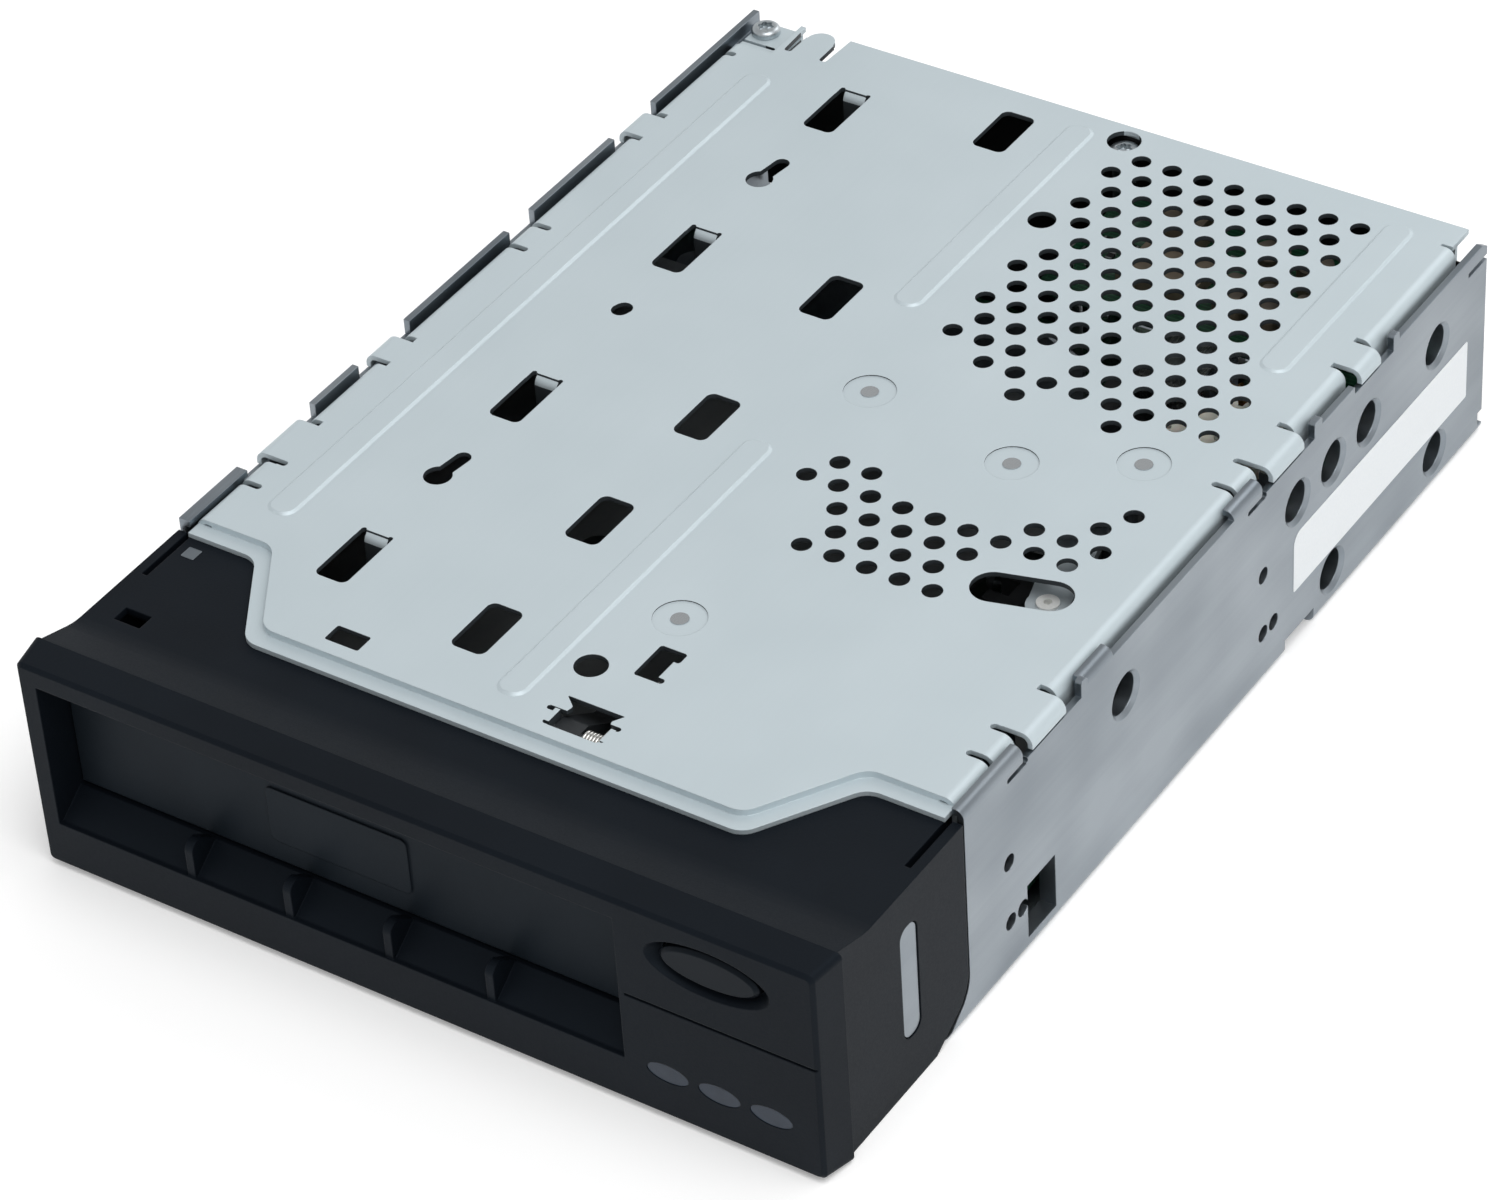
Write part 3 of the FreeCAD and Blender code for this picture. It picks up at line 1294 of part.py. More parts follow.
def pivot_posts():
    low = bay_floor - floor_plate
    lever_post = cyl(pivot_radius, lever_low + lever_sheet + 0.8 - low, lever_pivot[0], lever_pivot[1], low)
    seat = bay_floor + boss_height
    lever_seat = cyl(boss_radius, sector_z - 0.1 - seat, lever_pivot[0], lever_pivot[1], seat)
    gear_post = cyl(pivot_radius, sector_z + 2 * gear_face + 1.4 - low, gear_centre[0], gear_centre[1], low)
    gear_seat = cyl(boss_radius - 0.4, sector_z - 0.1 - seat, gear_centre[0], gear_centre[1], seat)
    return group([joined([lever_post, lever_seat]), joined([gear_post, gear_seat])])


def load_gear():
    """Worm wheel with a pinion on the same hub, under it the lever's sector."""
    x, d = gear_centre
    step = 360 / pinion_teeth
    turn = math.degrees(gear_heading) + 180 + step / 2
    pinion = gear_solid(pinion_teeth, x, d, sector_z, gear_face + 0.3, turn)
    wheel = gear_solid(wheel_teeth, x, d, wheel_low, wheel_face, 90 + 180 / wheel_teeth)
    return joined([pinion, wheel]).cut(cyl(pivot_radius + running_fit, 12, x, d, sector_z - 1))


def load_worm():
    x0 = motor_left + motor_length + bracket_sheet + 0.6
    z = worm_z
    lead = math.pi * gear_module
    turns = 5
    start = gear_centre[0] - turns * lead / 2
    profile = [(x0, 0), (x0, 1.0), (start, 1.0)]
    for k in range(turns):
        at = start + k * lead
        profile += [(at + 0.2 * lead, worm_radius - 2.1 * gear_module),
                    (at + 0.5 * lead - 0.2, worm_radius),
                    (at + 0.5 * lead + 0.2, worm_radius)]
    end = start + turns * lead
    profile += [(end, 1.0), (end + 1.2, 1.0), (end + 1.2, 0)]
    points = [vec(px, back(worm_depth), z + pz) for px, pz in profile]
    face = Part.Face(Part.makePolygon(points + [points[0]]))
    return face.revolve(vec(0, back(worm_depth), z), vec(1, 0, 0), 360)


def load_motor():
    z = worm_z
    can = cyl(motor_radius, motor_length, motor_left, worm_depth, z, "x")
    boss = cyl(2.0, bracket_sheet + 0.3, motor_left + motor_length, worm_depth, z, "x")
    body = can.fuse(boss).removeSplitter()
    return body.cut(box(motor_left - 1, motor_left + motor_length + 1, worm_depth - 9, worm_depth + 9,
                        deck_under - 0.8, deck_height + 9))


def motor_bracket():
    z = worm_z
    x0 = motor_left + motor_length
    d0 = worm_depth - bracket_front
    d1 = worm_depth + 5.4
    wall = side_profile([(d0, bay_floor), (d1, bay_floor), (d1, deck_under - 1.4, 2.0),
                         (d0, deck_under - 1.4, 2.0)],
                        x0, x0 + bracket_sheet)
    foot = box(x0, x0 + 9.0, d0, d1, bay_floor, bay_floor + bracket_sheet)
    return wall.fuse(foot).removeSplitter().cut(cyl(2.0 + running_fit, 4, x0 - 1, worm_depth, z, "x"))


# Circuit boards, their parts and the connectors at the rear
servo_board_z = 31.0
servo_left = 8.0
servo_right = inner_half - 1.8
servo_front = 172.0
servo_rear = board_rear - 1.0
servo_posts = [(x, d) for d in (servo_front + 4.0, servo_rear - 8.4)
               for x in (servo_left + 4.0, servo_right - 4.0)]
connector_face = total_depth - 0.4
hd_centre = -24.5
hd_half = 27.6
hd_cavity = 23.3
hd_rows = 34
hd_pitch = 1.27
power_left = 42.0
power_width = 25.4
power_pitch = 5.08
power_pin_radius = 1.05


def main_board():
    sheet = plate(rect(-board_half, board_half, board_front, board_rear, 2.0), board_underside, board_top)
    tools = [cyl(1.6, 5, x, d, board_underside - 1) for x, d in board_fixings]
    for x, d in base_fixings:
        tools.append(cyl(5.2, 5, x, d, board_underside - 1))
    for x, d in servo_posts:
        tools.append(cyl(1.2, 5, x, d, board_underside - 1))
    return sheet.cut(tools)


def board_screws():
    screws = []
    for x, d in board_fixings:
        head = cyl(2.5, 1.6, x, d, board_top)
        shank = cyl(1.25, board_top - tray_sheet + 0.2, x, d, tray_sheet - 0.1)
        screws.append(head.fuse(shank).removeSplitter())
    return group(screws)


def board_chips():
    places = ((-40.0, 98.0, 14.0, 14.0), (-8.0, 92.0, 14.0, 20.0), (-46.0, 134.0, 10.0, 18.0),
              (-6.0, 136.0, 20.0, 14.0),
              (-40.0, 182.0, 14.0, 9.0), (20.0, 162.0, 9.0, 9.0), (40.0, 150.0, 8.0, 6.0))
    return group([box(x - a, x + a, d - b / 2, d + b / 2, board_top, board_top + 2.2) for x, d, a,
                  b in places])


def board_capacitors():
    cans = []
    for k in range(5):
        cans.append(cyl(2.5, 5.6, 22.0 + 7.0 * k, 189.0, board_top))
    for k in range(3):
        cans.append(cyl(3.1, 7.0, -64.0 + 8.0 * k, 174.0, board_top))
    return group(cans)


def servo_board():
    sheet = plate(rect(servo_left, servo_right, servo_front, servo_rear, 1.0), servo_board_z,
                  servo_board_z + board_thickness)
    return sheet.cut([cyl(1.2, 5, x, d, servo_board_z - 1) for x, d in servo_posts])


def servo_board_posts():
    posts = []
    for x, d in servo_posts:
        sleeve = cyl(2.3, servo_board_z - board_top, x, d, board_top)
        pin = cyl(1.2, servo_board_z + board_thickness + 1.2 - board_underside, x, d, board_underside)
        posts.append(joined([sleeve, pin]))
    return group(posts)


def servo_parts():
    """Film capacitors, chokes and a driver chip that show through the perforation."""
    top = servo_board_z + board_thickness
    parts = [box(20.0, 34.0, 178.0, 190.0, top, top + 2.4)]
    for k in range(4):
        x = 39.0 + 6.6 * k
        parts.append(plate(rect(x, x + 5.0, 176.0, 184.0, 1.4), top, top + 5.6))
    for k in range(3):
        parts.append(cyl(3.2, 5.4, 42.0 + 8.2 * k, 192.5, top))
    parts.append(plate(rect(20.0, 28.0, 193.0, 199.0, 1.2), top, top + 5.0))
    return group(parts)


def hd_connector():
    """Shrouded header for the data cable, with its flanges."""
    low = board_top
    high = low + 8.6
    body = box(hd_centre - hd_half, hd_centre + hd_half, board_rear - 6, connector_face - 3.4, low, high)
    shroud = front_profile(rect(hd_centre - hd_cavity - 1.1, hd_centre + hd_cavity + 1.1, low + 0.9,
                                high - 0.5, 1.6),
                           connector_face - 3.6, connector_face)
    cavity = front_profile([(hd_centre - hd_cavity, low + 2.0, 0.8),
                            (hd_centre + hd_cavity - 1.6, low + 2.0, 0.8),
                            (hd_centre + hd_cavity, high - 1.6, 0.8),
                            (hd_centre - hd_cavity, high - 1.6, 0.8)],
                           connector_face - 7.4, connector_face + 1)
    return body.fuse(shroud).removeSplitter().cut(cavity)


def hd_pins():
    low = board_top
    first = hd_centre - hd_pitch * (hd_rows - 1) / 2
    pins = []
    for k in range(hd_rows):
        for z in (low + 3.6, low + 5.8):
            x = first + hd_pitch * k
            pins.append(box(x - 0.2, x + 0.2, connector_face - 7.4, connector_face - 1.4, z - 0.2, z + 0.2))
    return group(pins)


def power_connector():
    low = board_top
    high = low + 10.8
    body = box(power_left, power_left + power_width, board_rear - 6, connector_face, low, high)
    middle = power_left + power_width / 2
    cavity = front_profile([(middle - 10.4, low + 2.0), (middle + 10.4, low + 2.0),
                            (middle + 10.4, low + 6.4),
                            (middle + 8.2, low + 8.6), (middle - 8.2, low + 8.6),
                            (middle - 10.4, low + 6.4)],
                           connector_face - 10.6, connector_face + 1)
    return body.cut(cavity)


def power_pins():
    middle = power_left + power_width / 2
    pins = []
    for k in range(4):
        x = middle + power_pitch * (k - 1.5)
        pins.append(cyl(power_pin_radius, 9.0, x, connector_face - 10.6, board_top + 5.3, "y"))
    return group(pins)


def address_header():
    low = board_top
    block = box(16.0, 31.3, board_rear - 5.2, board_rear - 0.2, low, low + 2.5)
    pins = []
    for k in range(6):
        for z in (0, 1):
            x = 17.27 + 2.54 * k
            d = board_rear - 3.9 + 2.54 * z
            pins.append(box(x - 0.32, x + 0.32, d - 0.32, d + 0.32, low + 2.4, low + 8.4))
    return block.fuse(pins)


def cover_studs():
    """Stepped studs riveted into the cover, their heads level in its dimples."""
    studs = []
    for x, d in stud_places:
        pin = cyl(stud_radius, deck_height - 0.1 - deck_under + 0.2, x, d, deck_under - 0.2)
        shoulder = cyl(2.4, 3.0, x, d, deck_under - 3.1)
        studs.append(joined([pin, shoulder]))
    return group(studs)


post_top = deck_under - 1.9


def cover_screws():
    x, d = cover_screw_places[0]
    low = deck_height - border_drop - 0.3
    dome = Part.makeSphere(3.4, vec(x, back(d), low - 1.75)).common(cyl(2.6, 1.5, x, d, low))
    corner_screw = joined([dome, cyl(screw_radius - 0.2, 4.5, x, d, low - 4.4)])
    x, d = cover_screw_places[1]
    post_screw = joined([cyl(2.6, 1.4, x, d, post_top), cyl(screw_radius - 0.2, 6.0, x, d, post_top - 5.9)])
    return group([corner_screw, post_screw])


def cover_post():
    """Standoff between the floor and the cover's sunk screw."""
    x, d = cover_screw_places[1]
    return cyl(2.2, post_top - tray_sheet, x, d,
               tray_sheet).cut(cyl(screw_radius - 0.2, 8, x, d, post_top - 6))


nodes = {
    "chassis_tray": chassis_tray,
    "top_cover": top_cover,
    "cover_studs": cover_studs,
    "cover_screws": cover_screws,
    "cover_post": cover_post,
    "hold_down_pin": hold_down_pin,
    "hold_down_arm": hold_down_arm,
    "hold_down_spring": hold_down_spring,
    "front_bezel": front_bezel,
    "door_hinge_pins": door_hinge_pins,
    "door_flap": door_flap,
    "door_spring": door_spring,
    "eject_button": eject_button,
    "eject_switch": eject_switch,
    "eject_spring": eject_spring,
    "led_light_pipes": led_light_pipes,
    "status_leds": status_leds,
    "front_board": front_board,
    "front_board_screws": front_board_screws,
    "front_panel_cable": front_panel_cable,
    "base_casting": base_casting,
    "base_screws": base_screws,
    "left_cartridge_rail": left_cartridge_rail,
    "right_cartridge_rails": right_cartridge_rails,
    "cartridge_stop": cartridge_stop,
    "engine_rods": engine_rods,
    "engine_plate": engine_plate,
    "capstan_bushes": capstan_bushes,
    "capstan_stator": capstan_stator,
    "stator_coils": stator_coils,
    "capstan_rotor": capstan_rotor,
    "capstan_shaft": capstan_shaft,
    "drive_roller": drive_roller,
    "head_stepper": head_stepper,
    "head_tower": head_tower,
    "head_guide_rods": head_guide_rods,
    "lead_screw": lead_screw,
    "head_carriage": head_carriage,
    "tape_head": tape_head,
    "tape_sensor": tape_sensor,
    "drive_fork": drive_fork,
    "load_lever": load_lever,
    "lever_rivet": lever_rivet,
    "pivot_posts": pivot_posts,
    "load_gear": load_gear,
    "load_worm": load_worm,
    "load_motor": load_motor,
    "motor_bracket": motor_bracket,
    "main_board": main_board,
    "board_screws": board_screws,
    "board_chips": board_chips,
    "board_capacitors": board_capacitors,
    "servo_board": servo_board,
    "servo_board_posts": servo_board_posts,
    "servo_parts": servo_parts,
    "hd_connector": hd_connector,
    "hd_pins": hd_pins,
    "power_connector": power_connector,
    "power_pins": power_pins,
    "address_header": address_header,
}

os.makedirs("parts", exist_ok=True)
for name, make in nodes.items():
    shape = make()
    shape.exportStep("parts/" + name + ".step")
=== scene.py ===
import bpy
import bmesh
import json
import math
from mathutils import Euler, Matrix, Vector

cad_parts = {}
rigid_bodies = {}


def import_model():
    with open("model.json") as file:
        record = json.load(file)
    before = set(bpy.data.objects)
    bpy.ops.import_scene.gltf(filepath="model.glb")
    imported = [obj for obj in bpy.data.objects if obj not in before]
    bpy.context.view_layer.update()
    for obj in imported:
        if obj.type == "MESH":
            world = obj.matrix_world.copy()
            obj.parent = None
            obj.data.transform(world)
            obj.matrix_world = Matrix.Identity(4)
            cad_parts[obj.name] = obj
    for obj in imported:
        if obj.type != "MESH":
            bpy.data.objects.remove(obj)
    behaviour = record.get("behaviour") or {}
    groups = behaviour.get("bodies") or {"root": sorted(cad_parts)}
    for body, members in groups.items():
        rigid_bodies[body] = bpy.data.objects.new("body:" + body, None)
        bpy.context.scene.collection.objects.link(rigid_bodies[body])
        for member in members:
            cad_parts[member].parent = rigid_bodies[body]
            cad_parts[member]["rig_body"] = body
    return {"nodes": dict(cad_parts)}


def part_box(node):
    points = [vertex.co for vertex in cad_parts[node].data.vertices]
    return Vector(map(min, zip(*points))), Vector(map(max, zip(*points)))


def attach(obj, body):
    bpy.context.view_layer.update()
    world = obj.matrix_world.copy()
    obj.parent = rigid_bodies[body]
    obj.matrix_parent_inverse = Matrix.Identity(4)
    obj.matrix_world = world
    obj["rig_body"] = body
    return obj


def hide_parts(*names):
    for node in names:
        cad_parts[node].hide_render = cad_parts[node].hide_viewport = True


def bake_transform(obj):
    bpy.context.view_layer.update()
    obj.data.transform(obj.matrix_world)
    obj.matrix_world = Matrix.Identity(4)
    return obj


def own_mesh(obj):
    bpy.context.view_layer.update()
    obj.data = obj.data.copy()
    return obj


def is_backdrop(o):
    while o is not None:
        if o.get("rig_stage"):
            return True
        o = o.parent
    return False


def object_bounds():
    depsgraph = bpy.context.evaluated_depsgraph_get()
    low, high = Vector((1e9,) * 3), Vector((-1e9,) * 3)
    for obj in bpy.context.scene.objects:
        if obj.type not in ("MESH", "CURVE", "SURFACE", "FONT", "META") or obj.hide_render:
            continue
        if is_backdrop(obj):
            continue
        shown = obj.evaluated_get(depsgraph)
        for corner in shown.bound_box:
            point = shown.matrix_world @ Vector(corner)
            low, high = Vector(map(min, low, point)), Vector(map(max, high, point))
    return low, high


# Looks of a half-height data tape drive: plated steel cover and tray, charcoal bezel, and the works inside.
# Metres. X to the right, Y to the rear, Z up, as in the CAD frame.

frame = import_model()
nodes = frame["nodes"]
cadLow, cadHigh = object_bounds()
mm = 0.001
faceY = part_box("front_bezel")[0].y
print("frame loaded:", len(nodes), "nodes")


def back(distance):
    # Y of a point this many millimetres behind the bezel's front face
    return faceY + distance * mm


def colour(hexText):
    # sRGB hex to the linear values that shaders take
    channels = [int(hexText[k:k + 2], 16) / 255 for k in (0, 2, 4)]
    linear = [c / 12.92 if c <= 0.04045 else ((c + 0.055) / 1.055) ** 2.4 for c in channels]
    return (*linear, 1.0)


def addNode(tree, kind, inputs=None, **settings):
    # adds a node, sets its settings, then fills each input with a value or a link
    node = tree.nodes.new(kind)
    for key, value in settings.items():
        setattr(node, key, value)
    for key, value in (inputs or {}).items():
        if isinstance(value, bpy.types.NodeSocket):
            tree.links.new(value, node.inputs[key])
        else:
            node.inputs[key].default_value = value
    return node


def newFinish(name, base, **values):
    # material with one principled shader, its single values set on the sockets
    finish = bpy.data.materials.new(name)
    finish.use_nodes = True
    tree = finish.node_tree
    shader = tree.nodes["Principled BSDF"]
    shader.inputs["Base Color"].default_value = colour(base)
    for label, value in values.items():
        shader.inputs[label.replace("_", " ")].default_value = value
    return finish, tree, shader


def patternSpace(tree, stretch=(1, 1, 1)):
    # object coordinates in millimetres, squeezed along the axes that a pattern runs along
    place = addNode(tree, "ShaderNodeTexCoord")
    scale = tuple(s / mm for s in stretch)
    return addNode(tree, "ShaderNodeMapping", {"Vector": place.outputs["Object"],
                                               "Scale": scale}).outputs["Vector"]


def maths(tree, operation, *values):
    # one step of arithmetic on numbers or links
    return addNode(tree, "ShaderNodeMath", dict(enumerate(values)), operation=operation).outputs[0]


def splitAxes(tree, vector):
    return addNode(tree, "ShaderNodeSeparateXYZ", {0: vector}).outputs


def remap(tree, value, fromLow, fromHigh, toLow, toHigh):
    return addNode(tree, "ShaderNodeMapRange", {"Value": value, "From Min": fromLow, "From Max": fromHigh,
                                                "To Min": toLow, "To Max": toHigh}).outputs["Result"]


def toneBetween(tree, share, first, second):
    return addNode(tree, "ShaderNodeMix", {"Factor": share, 6: first, 7: second}, data_type="RGBA").outputs[2]


def mixTones(tree, shader, share, dark, light):
    # drives the base colour between two tones
    tone = toneBetween(tree, share, colour(dark), colour(light))
    tree.links.new(tone, shader.inputs["Base Color"])


def varyRoughness(tree, shader, share, low, high):
    tree.links.new(remap(tree, share, 0.0, 1.0, low, high), shader.inputs["Roughness"])


def raiseSurface(tree, shader, height, depth, strength=1.0, edge=0.0):
    # bump of this depth in millimetres, over edges that catch the light as if broken to this radius
    bump = addNode(tree, "ShaderNodeBump", {"Height": height, "Distance": depth * mm, "Strength": strength})
    if edge > 0:
        broken = addNode(tree, "ShaderNodeBevel", {"Radius": edge * mm}, samples=6)
        tree.links.new(broken.outputs["Normal"], bump.inputs["Normal"])
    tree.links.new(bump.outputs["Normal"], shader.inputs["Normal"])


def finePattern(tree, vector, size, detail=3.0, rough=0.55):
    # noise whose grains are about this many millimetres across
    return addNode(tree, "ShaderNodeTexNoise", {"Vector": vector, "Scale": 1 / size, "Detail": detail,
                                                "Roughness": rough}).outputs["Fac"]


def bandPattern(tree, scale, direction, waver=0.0):
    # even bands across one axis
    return addNode(tree, "ShaderNodeTexWave", {"Vector": patternSpace(tree), "Scale": scale,
                                               "Distortion": waver},
                   wave_type="BANDS", bands_direction=direction).outputs["Fac"]


# Field of the cover's pierced holes, in millimetres: inside the folded sides, the front step and the skirt
deck = {"half": 66.0, "stepCorner": 41.0, "front": 27.5, "sideFront": 76.0, "rear": 208.0,
        "upright": 0.12}


# Cold-rolled sheet with a matt electro-galvanised coat: pale, cloudy, almost without highlights
def matPlatedSheet():
    finish, tree, shader = newFinish("galvanisedCoverSheet", "BCC7CC", Metallic=0.4, Roughness=0.5)
    cloud = finePattern(tree, patternSpace(tree), 26, 2.0)
    sheet = toneBetween(tree, cloud, colour("BAC6CB"), colour("C4CFD4"))
    # pierced edges darkened: partly bare sheared steel, mostly painted shade so that the holes read dark;
    # upright faces inside the deck, not its lips, step or skirt
    facing = splitAxes(tree, addNode(tree, "ShaderNodeNewGeometry").outputs["True Normal"])
    pierced = maths(tree, "COMPARE", facing["Z"], 0.0, deck["upright"])
    place = splitAxes(tree, patternSpace(tree))
    away = maths(tree, "ABSOLUTE", place["X"])
    step = remap(tree, away, deck["stepCorner"], deck["half"],
                 back(deck["front"]) / mm, back(deck["sideFront"]) / mm)
    for value, limit, side in ((away, deck["half"], "LESS_THAN"),
                               (place["Y"], back(deck["rear"]) / mm, "LESS_THAN"),
                               (place["Y"], step, "GREATER_THAN")):
        pierced = maths(tree, "MULTIPLY", pierced, maths(tree, side, value, limit))
    # near-black tone on the holes' walls: painted shade
    tone = toneBetween(tree, pierced, sheet, colour("3E4448"))
    tree.links.new(tone, shader.inputs["Base Color"])
    along = finePattern(tree, patternSpace(tree, (1, 0.05, 1)), 0.9, 4.0, 0.6)
    varyRoughness(tree, shader, along, 0.44, 0.6)
    raiseSurface(tree, shader, finePattern(tree, patternSpace(tree), 0.5), 0.004, 0.5, edge=0.22)
    return finish


# Zinc-plated strip, rolled, folded and handled: smooth satin with soft smoky patches, faint rolling lines
def matZincSteel():
    finish, tree, shader = newFinish("zincPlatedStrip", "9AA3AA", Metallic=1.0, Roughness=0.36)
    streak = finePattern(tree, patternSpace(tree, (1, 0.03, 1)), 1.6, 5.0, 0.6)
    smoke = finePattern(tree, patternSpace(tree, (1, 0.6, 1)), 24, 2.0)
    both = maths(tree, "ADD", smoke, maths(tree, "MULTIPLY", streak, 0.15))
    mixTones(tree, shader, remap(tree, both, 0.4, 0.75, 0.0, 1.0), "7B838A", "989FA5")
    varyRoughness(tree, shader, smoke, 0.3, 0.42)
    raiseSurface(tree, shader, streak, 0.001, 0.4, edge=0.2)
    return finish


# Injection-moulded ABS with a fine spark-eroded grain: soft wide highlight, no mirror
def matMouldedCharcoal(name, dark, light, low, high, grain=0.35, depth=0.02):
    # the bluish specular tint is a painted cool cast in the reflections
    finish, tree, shader = newFinish(name, light, Metallic=0.0, IOR=1.54, Specular_IOR_Level=0.12,
                                     Specular_Tint=colour("CFE2F5"))
    mixTones(tree, shader, finePattern(tree, patternSpace(tree), 19, 2.0), dark, light)
    pits = finePattern(tree, patternSpace(tree), grain, 3.0, 0.6)
    varyRoughness(tree, shader, pits, low, high)
    raiseSurface(tree, shader, pits, depth, 0.6, edge=0.3)
    return finish


# Smoked polycarbonate, polished in the mould: dark, glossy, a little see-through
def matSmokedLens():
    finish, tree, shader = newFinish("smokedPolycarbonate", "323A46", Metallic=0.0, Roughness=0.16,
                                     IOR=1.585, Specular_IOR_Level=0.2, Transmission_Weight=0.1)
    depth = finePattern(tree, patternSpace(tree), 3.0, 1.0)
    mixTones(tree, shader, depth, "27303C", "36404E")
    return finish


# Drawn spring wire: bright, with die lines along it
def matSpringWire():
    finish, tree, shader = newFinish("drawnSpringWire", "C9CBCC", Metallic=1.0, Roughness=0.22)
    lines = finePattern(tree, patternSpace(tree, (0.3, 1, 1)), 0.12, 2.0)
    mixTones(tree, shader, lines, "B4B5B4", "DAD9D4")
    varyRoughness(tree, shader, lines, 0.16, 0.3)
    return finish


# Centreless-ground steel pins and rods: close rings round the bar
def matGroundSteel():
    finish, tree, shader = newFinish("groundSteel", "BFC3C6", Metallic=1.0, Roughness=0.2)
    rings = bandPattern(tree, 1.6, "X", 2.0)
    varyRoughness(tree, shader, rings, 0.14, 0.26)
    mixTones(tree, shader, rings, "B3B8BB", "C8CCCE")
    return finish


# Pressure die-cast zinc: dull, with flow clouds and a grainy skin
def matDieCast():
    finish, tree, shader = newFinish("dieCastZinc", "8F9294", Metallic=0.85, Roughness=0.5)
    mixTones(tree, shader, finePattern(tree, patternSpace(tree, (1, 0.5, 1)), 9, 4.0), "7C8083", "A1A4A5")
    skin = finePattern(tree, patternSpace(tree), 0.6, 3.0)
    varyRoughness(tree, shader, skin, 0.42, 0.6)
    raiseSurface(tree, shader, skin, 0.03, 0.5)
    return finish


# Glass-epoxy board under green solder mask: tracks show as a slightly lighter raised net
def matBoardGreen():
    finish, tree, shader = newFinish("solderMaskBoard", "1E5138", Metallic=0.0, Roughness=0.32, IOR=1.5,
                                     Coat_Weight=0.4)
    tracks = addNode(tree, "ShaderNodeTexBrick", {"Vector": patternSpace(tree), "Scale": 0.45,
                                                  "Mortar Size": 0.035, "Brick Width": 2.6,
                                                  "Row Height": 0.42}).outputs["Fac"]
    mixTones(tree, shader, tracks, "1A4A33", "2C6B4A")
    raiseSurface(tree, shader, tracks, 0.03, 0.5)
    return finish


# Transfer-moulded epoxy of chip bodies: black, finely pitted
def matChipEpoxy():
    finish, tree, shader = newFinish("chipEpoxy", "1B1C1E", Metallic=0.0, Roughness=0.62, IOR=1.52)
    pits = finePattern(tree, patternSpace(tree), 0.25, 3.0)
    mixTones(tree, shader, pits, "17181A", "232427")
    raiseSurface(tree, shader, pits, 0.015, 0.6)
    return finish


# Aluminium can in a shrunk sleeve: bare metal shows on top in a tone darkened as painted shade, sleeve round
# the side
def matCapacitorCan():
    finish, tree, shader = newFinish("sleevedCanShadedTop", "2A3146", Metallic=0.0, Roughness=0.35)
    facing = splitAxes(tree, addNode(tree, "ShaderNodeNewGeometry").outputs["Normal"])
    top = maths(tree, "GREATER_THAN", facing["Z"], 0.9)
    # the top's tone is bare aluminium darkened as painted shade
    mixTones(tree, shader, top, "262C40", "6B6F72")
    tree.links.new(top, shader.inputs["Metallic"])
    varyRoughness(tree, shader, finePattern(tree, patternSpace(tree), 1.2), 0.28, 0.42)
    return finish


# Dipped film capacitors and chokes: warm tan lacquer with a soft gloss
def matTanLacquer():
    finish, tree, shader = newFinish("tanLacquer", "7D715F", Metallic=0.0, Roughness=0.42, IOR=1.5)
    mixTones(tree, shader, finePattern(tree, patternSpace(tree), 2.2, 2.0), "6E6355", "8C7F6D")
    raiseSurface(tree, shader, finePattern(tree, patternSpace(tree), 0.8), 0.02, 0.4)
    return finish


# Glass-filled PBT of connectors: black with faint flow lines
def matConnectorPlastic():
    finish, tree, shader = newFinish("glassFilledPbt", "1C1D1F", Metallic=0.0, Roughness=0.5, IOR=1.55)
    flow = finePattern(tree, patternSpace(tree, (0.2, 1, 1)), 0.9, 3.0)
    mixTones(tree, shader, flow, "18191B", "26282B")
    varyRoughness(tree, shader, flow, 0.42, 0.6)
    return finish


# Gold-flashed contacts: warm, smooth
def matContactGold():
    finish, tree, shader = newFinish("goldFlashedContact", "D8B868", Metallic=1.0, Roughness=0.25)
    wipe = finePattern(tree, patternSpace(tree, (1, 0.1, 1)), 0.2, 2.0)
    mixTones(tree, shader, wipe, "CBA552", "E6CD8A")
    varyRoughness(tree, shader, wipe, 0.2, 0.34)
    return finish


# Natural moulded nylon: milky, light passes a little way in
def matNylon():
    finish, tree, shader = newFinish("naturalNylon", "E4E1D6", Metallic=0.0, Roughness=0.45, IOR=1.53,
                                     Subsurface_Weight=0.15, Subsurface_Scale=0.6 * mm)
    mixTones(tree, shader, finePattern(tree, patternSpace(tree), 4.0, 2.0), "DAD6C8", "ECEAE1")
    return finish


# Oil-filled sintered bronze: brown gold with open pores
def matBronze():
    finish, tree, shader = newFinish("sinteredBronze", "A8824E", Metallic=0.9, Roughness=0.4)
    pores = finePattern(tree, patternSpace(tree), 0.3, 4.0)
    mixTones(tree, shader, pores, "8E6B3C", "BF9A62")
    raiseSurface(tree, shader, pores, 0.02, 0.5)
    return finish


# Enamelled copper winding: rows of round wire under clear varnish
def matCopperWire():
    finish, tree, shader = newFinish("enamelledCopper", "B0602F", Metallic=0.9, Roughness=0.28,
                                     Coat_Weight=0.6)
    rows = bandPattern(tree, 0.9, "Z")
    # valleys between the wires painted darker: painted shade
    mixTones(tree, shader, rows, "7C3D1B", "CC7A42")
    raiseSurface(tree, shader, rows, 0.08, 0.8)
    return finish


# Moulded polyurethane tyre, ground true: dead black, fine cross grain
def matTyreRubber():
    finish, tree, shader = newFinish("groundTyreRubber", "1D1D1F", Metallic=0.0, Roughness=0.8, IOR=1.5)
    grain = finePattern(tree, patternSpace(tree, (1, 1, 0.2)), 0.3, 3.0)
    mixTones(tree, shader, grain, "161617", "29292B")
    raiseSurface(tree, shader, grain, 0.03, 0.7)
    return finish


# Lapped ferrite: near black, mirror smooth with faint crystal clouds
def matFerrite():
    finish, tree, shader = newFinish("lappedFerrite", "2C2E33", Metallic=0.2, Roughness=0.14, IOR=2.0)
    mixTones(tree, shader, finePattern(tree, patternSpace(tree), 0.8, 4.0), "26282C", "383B41")
    return finish


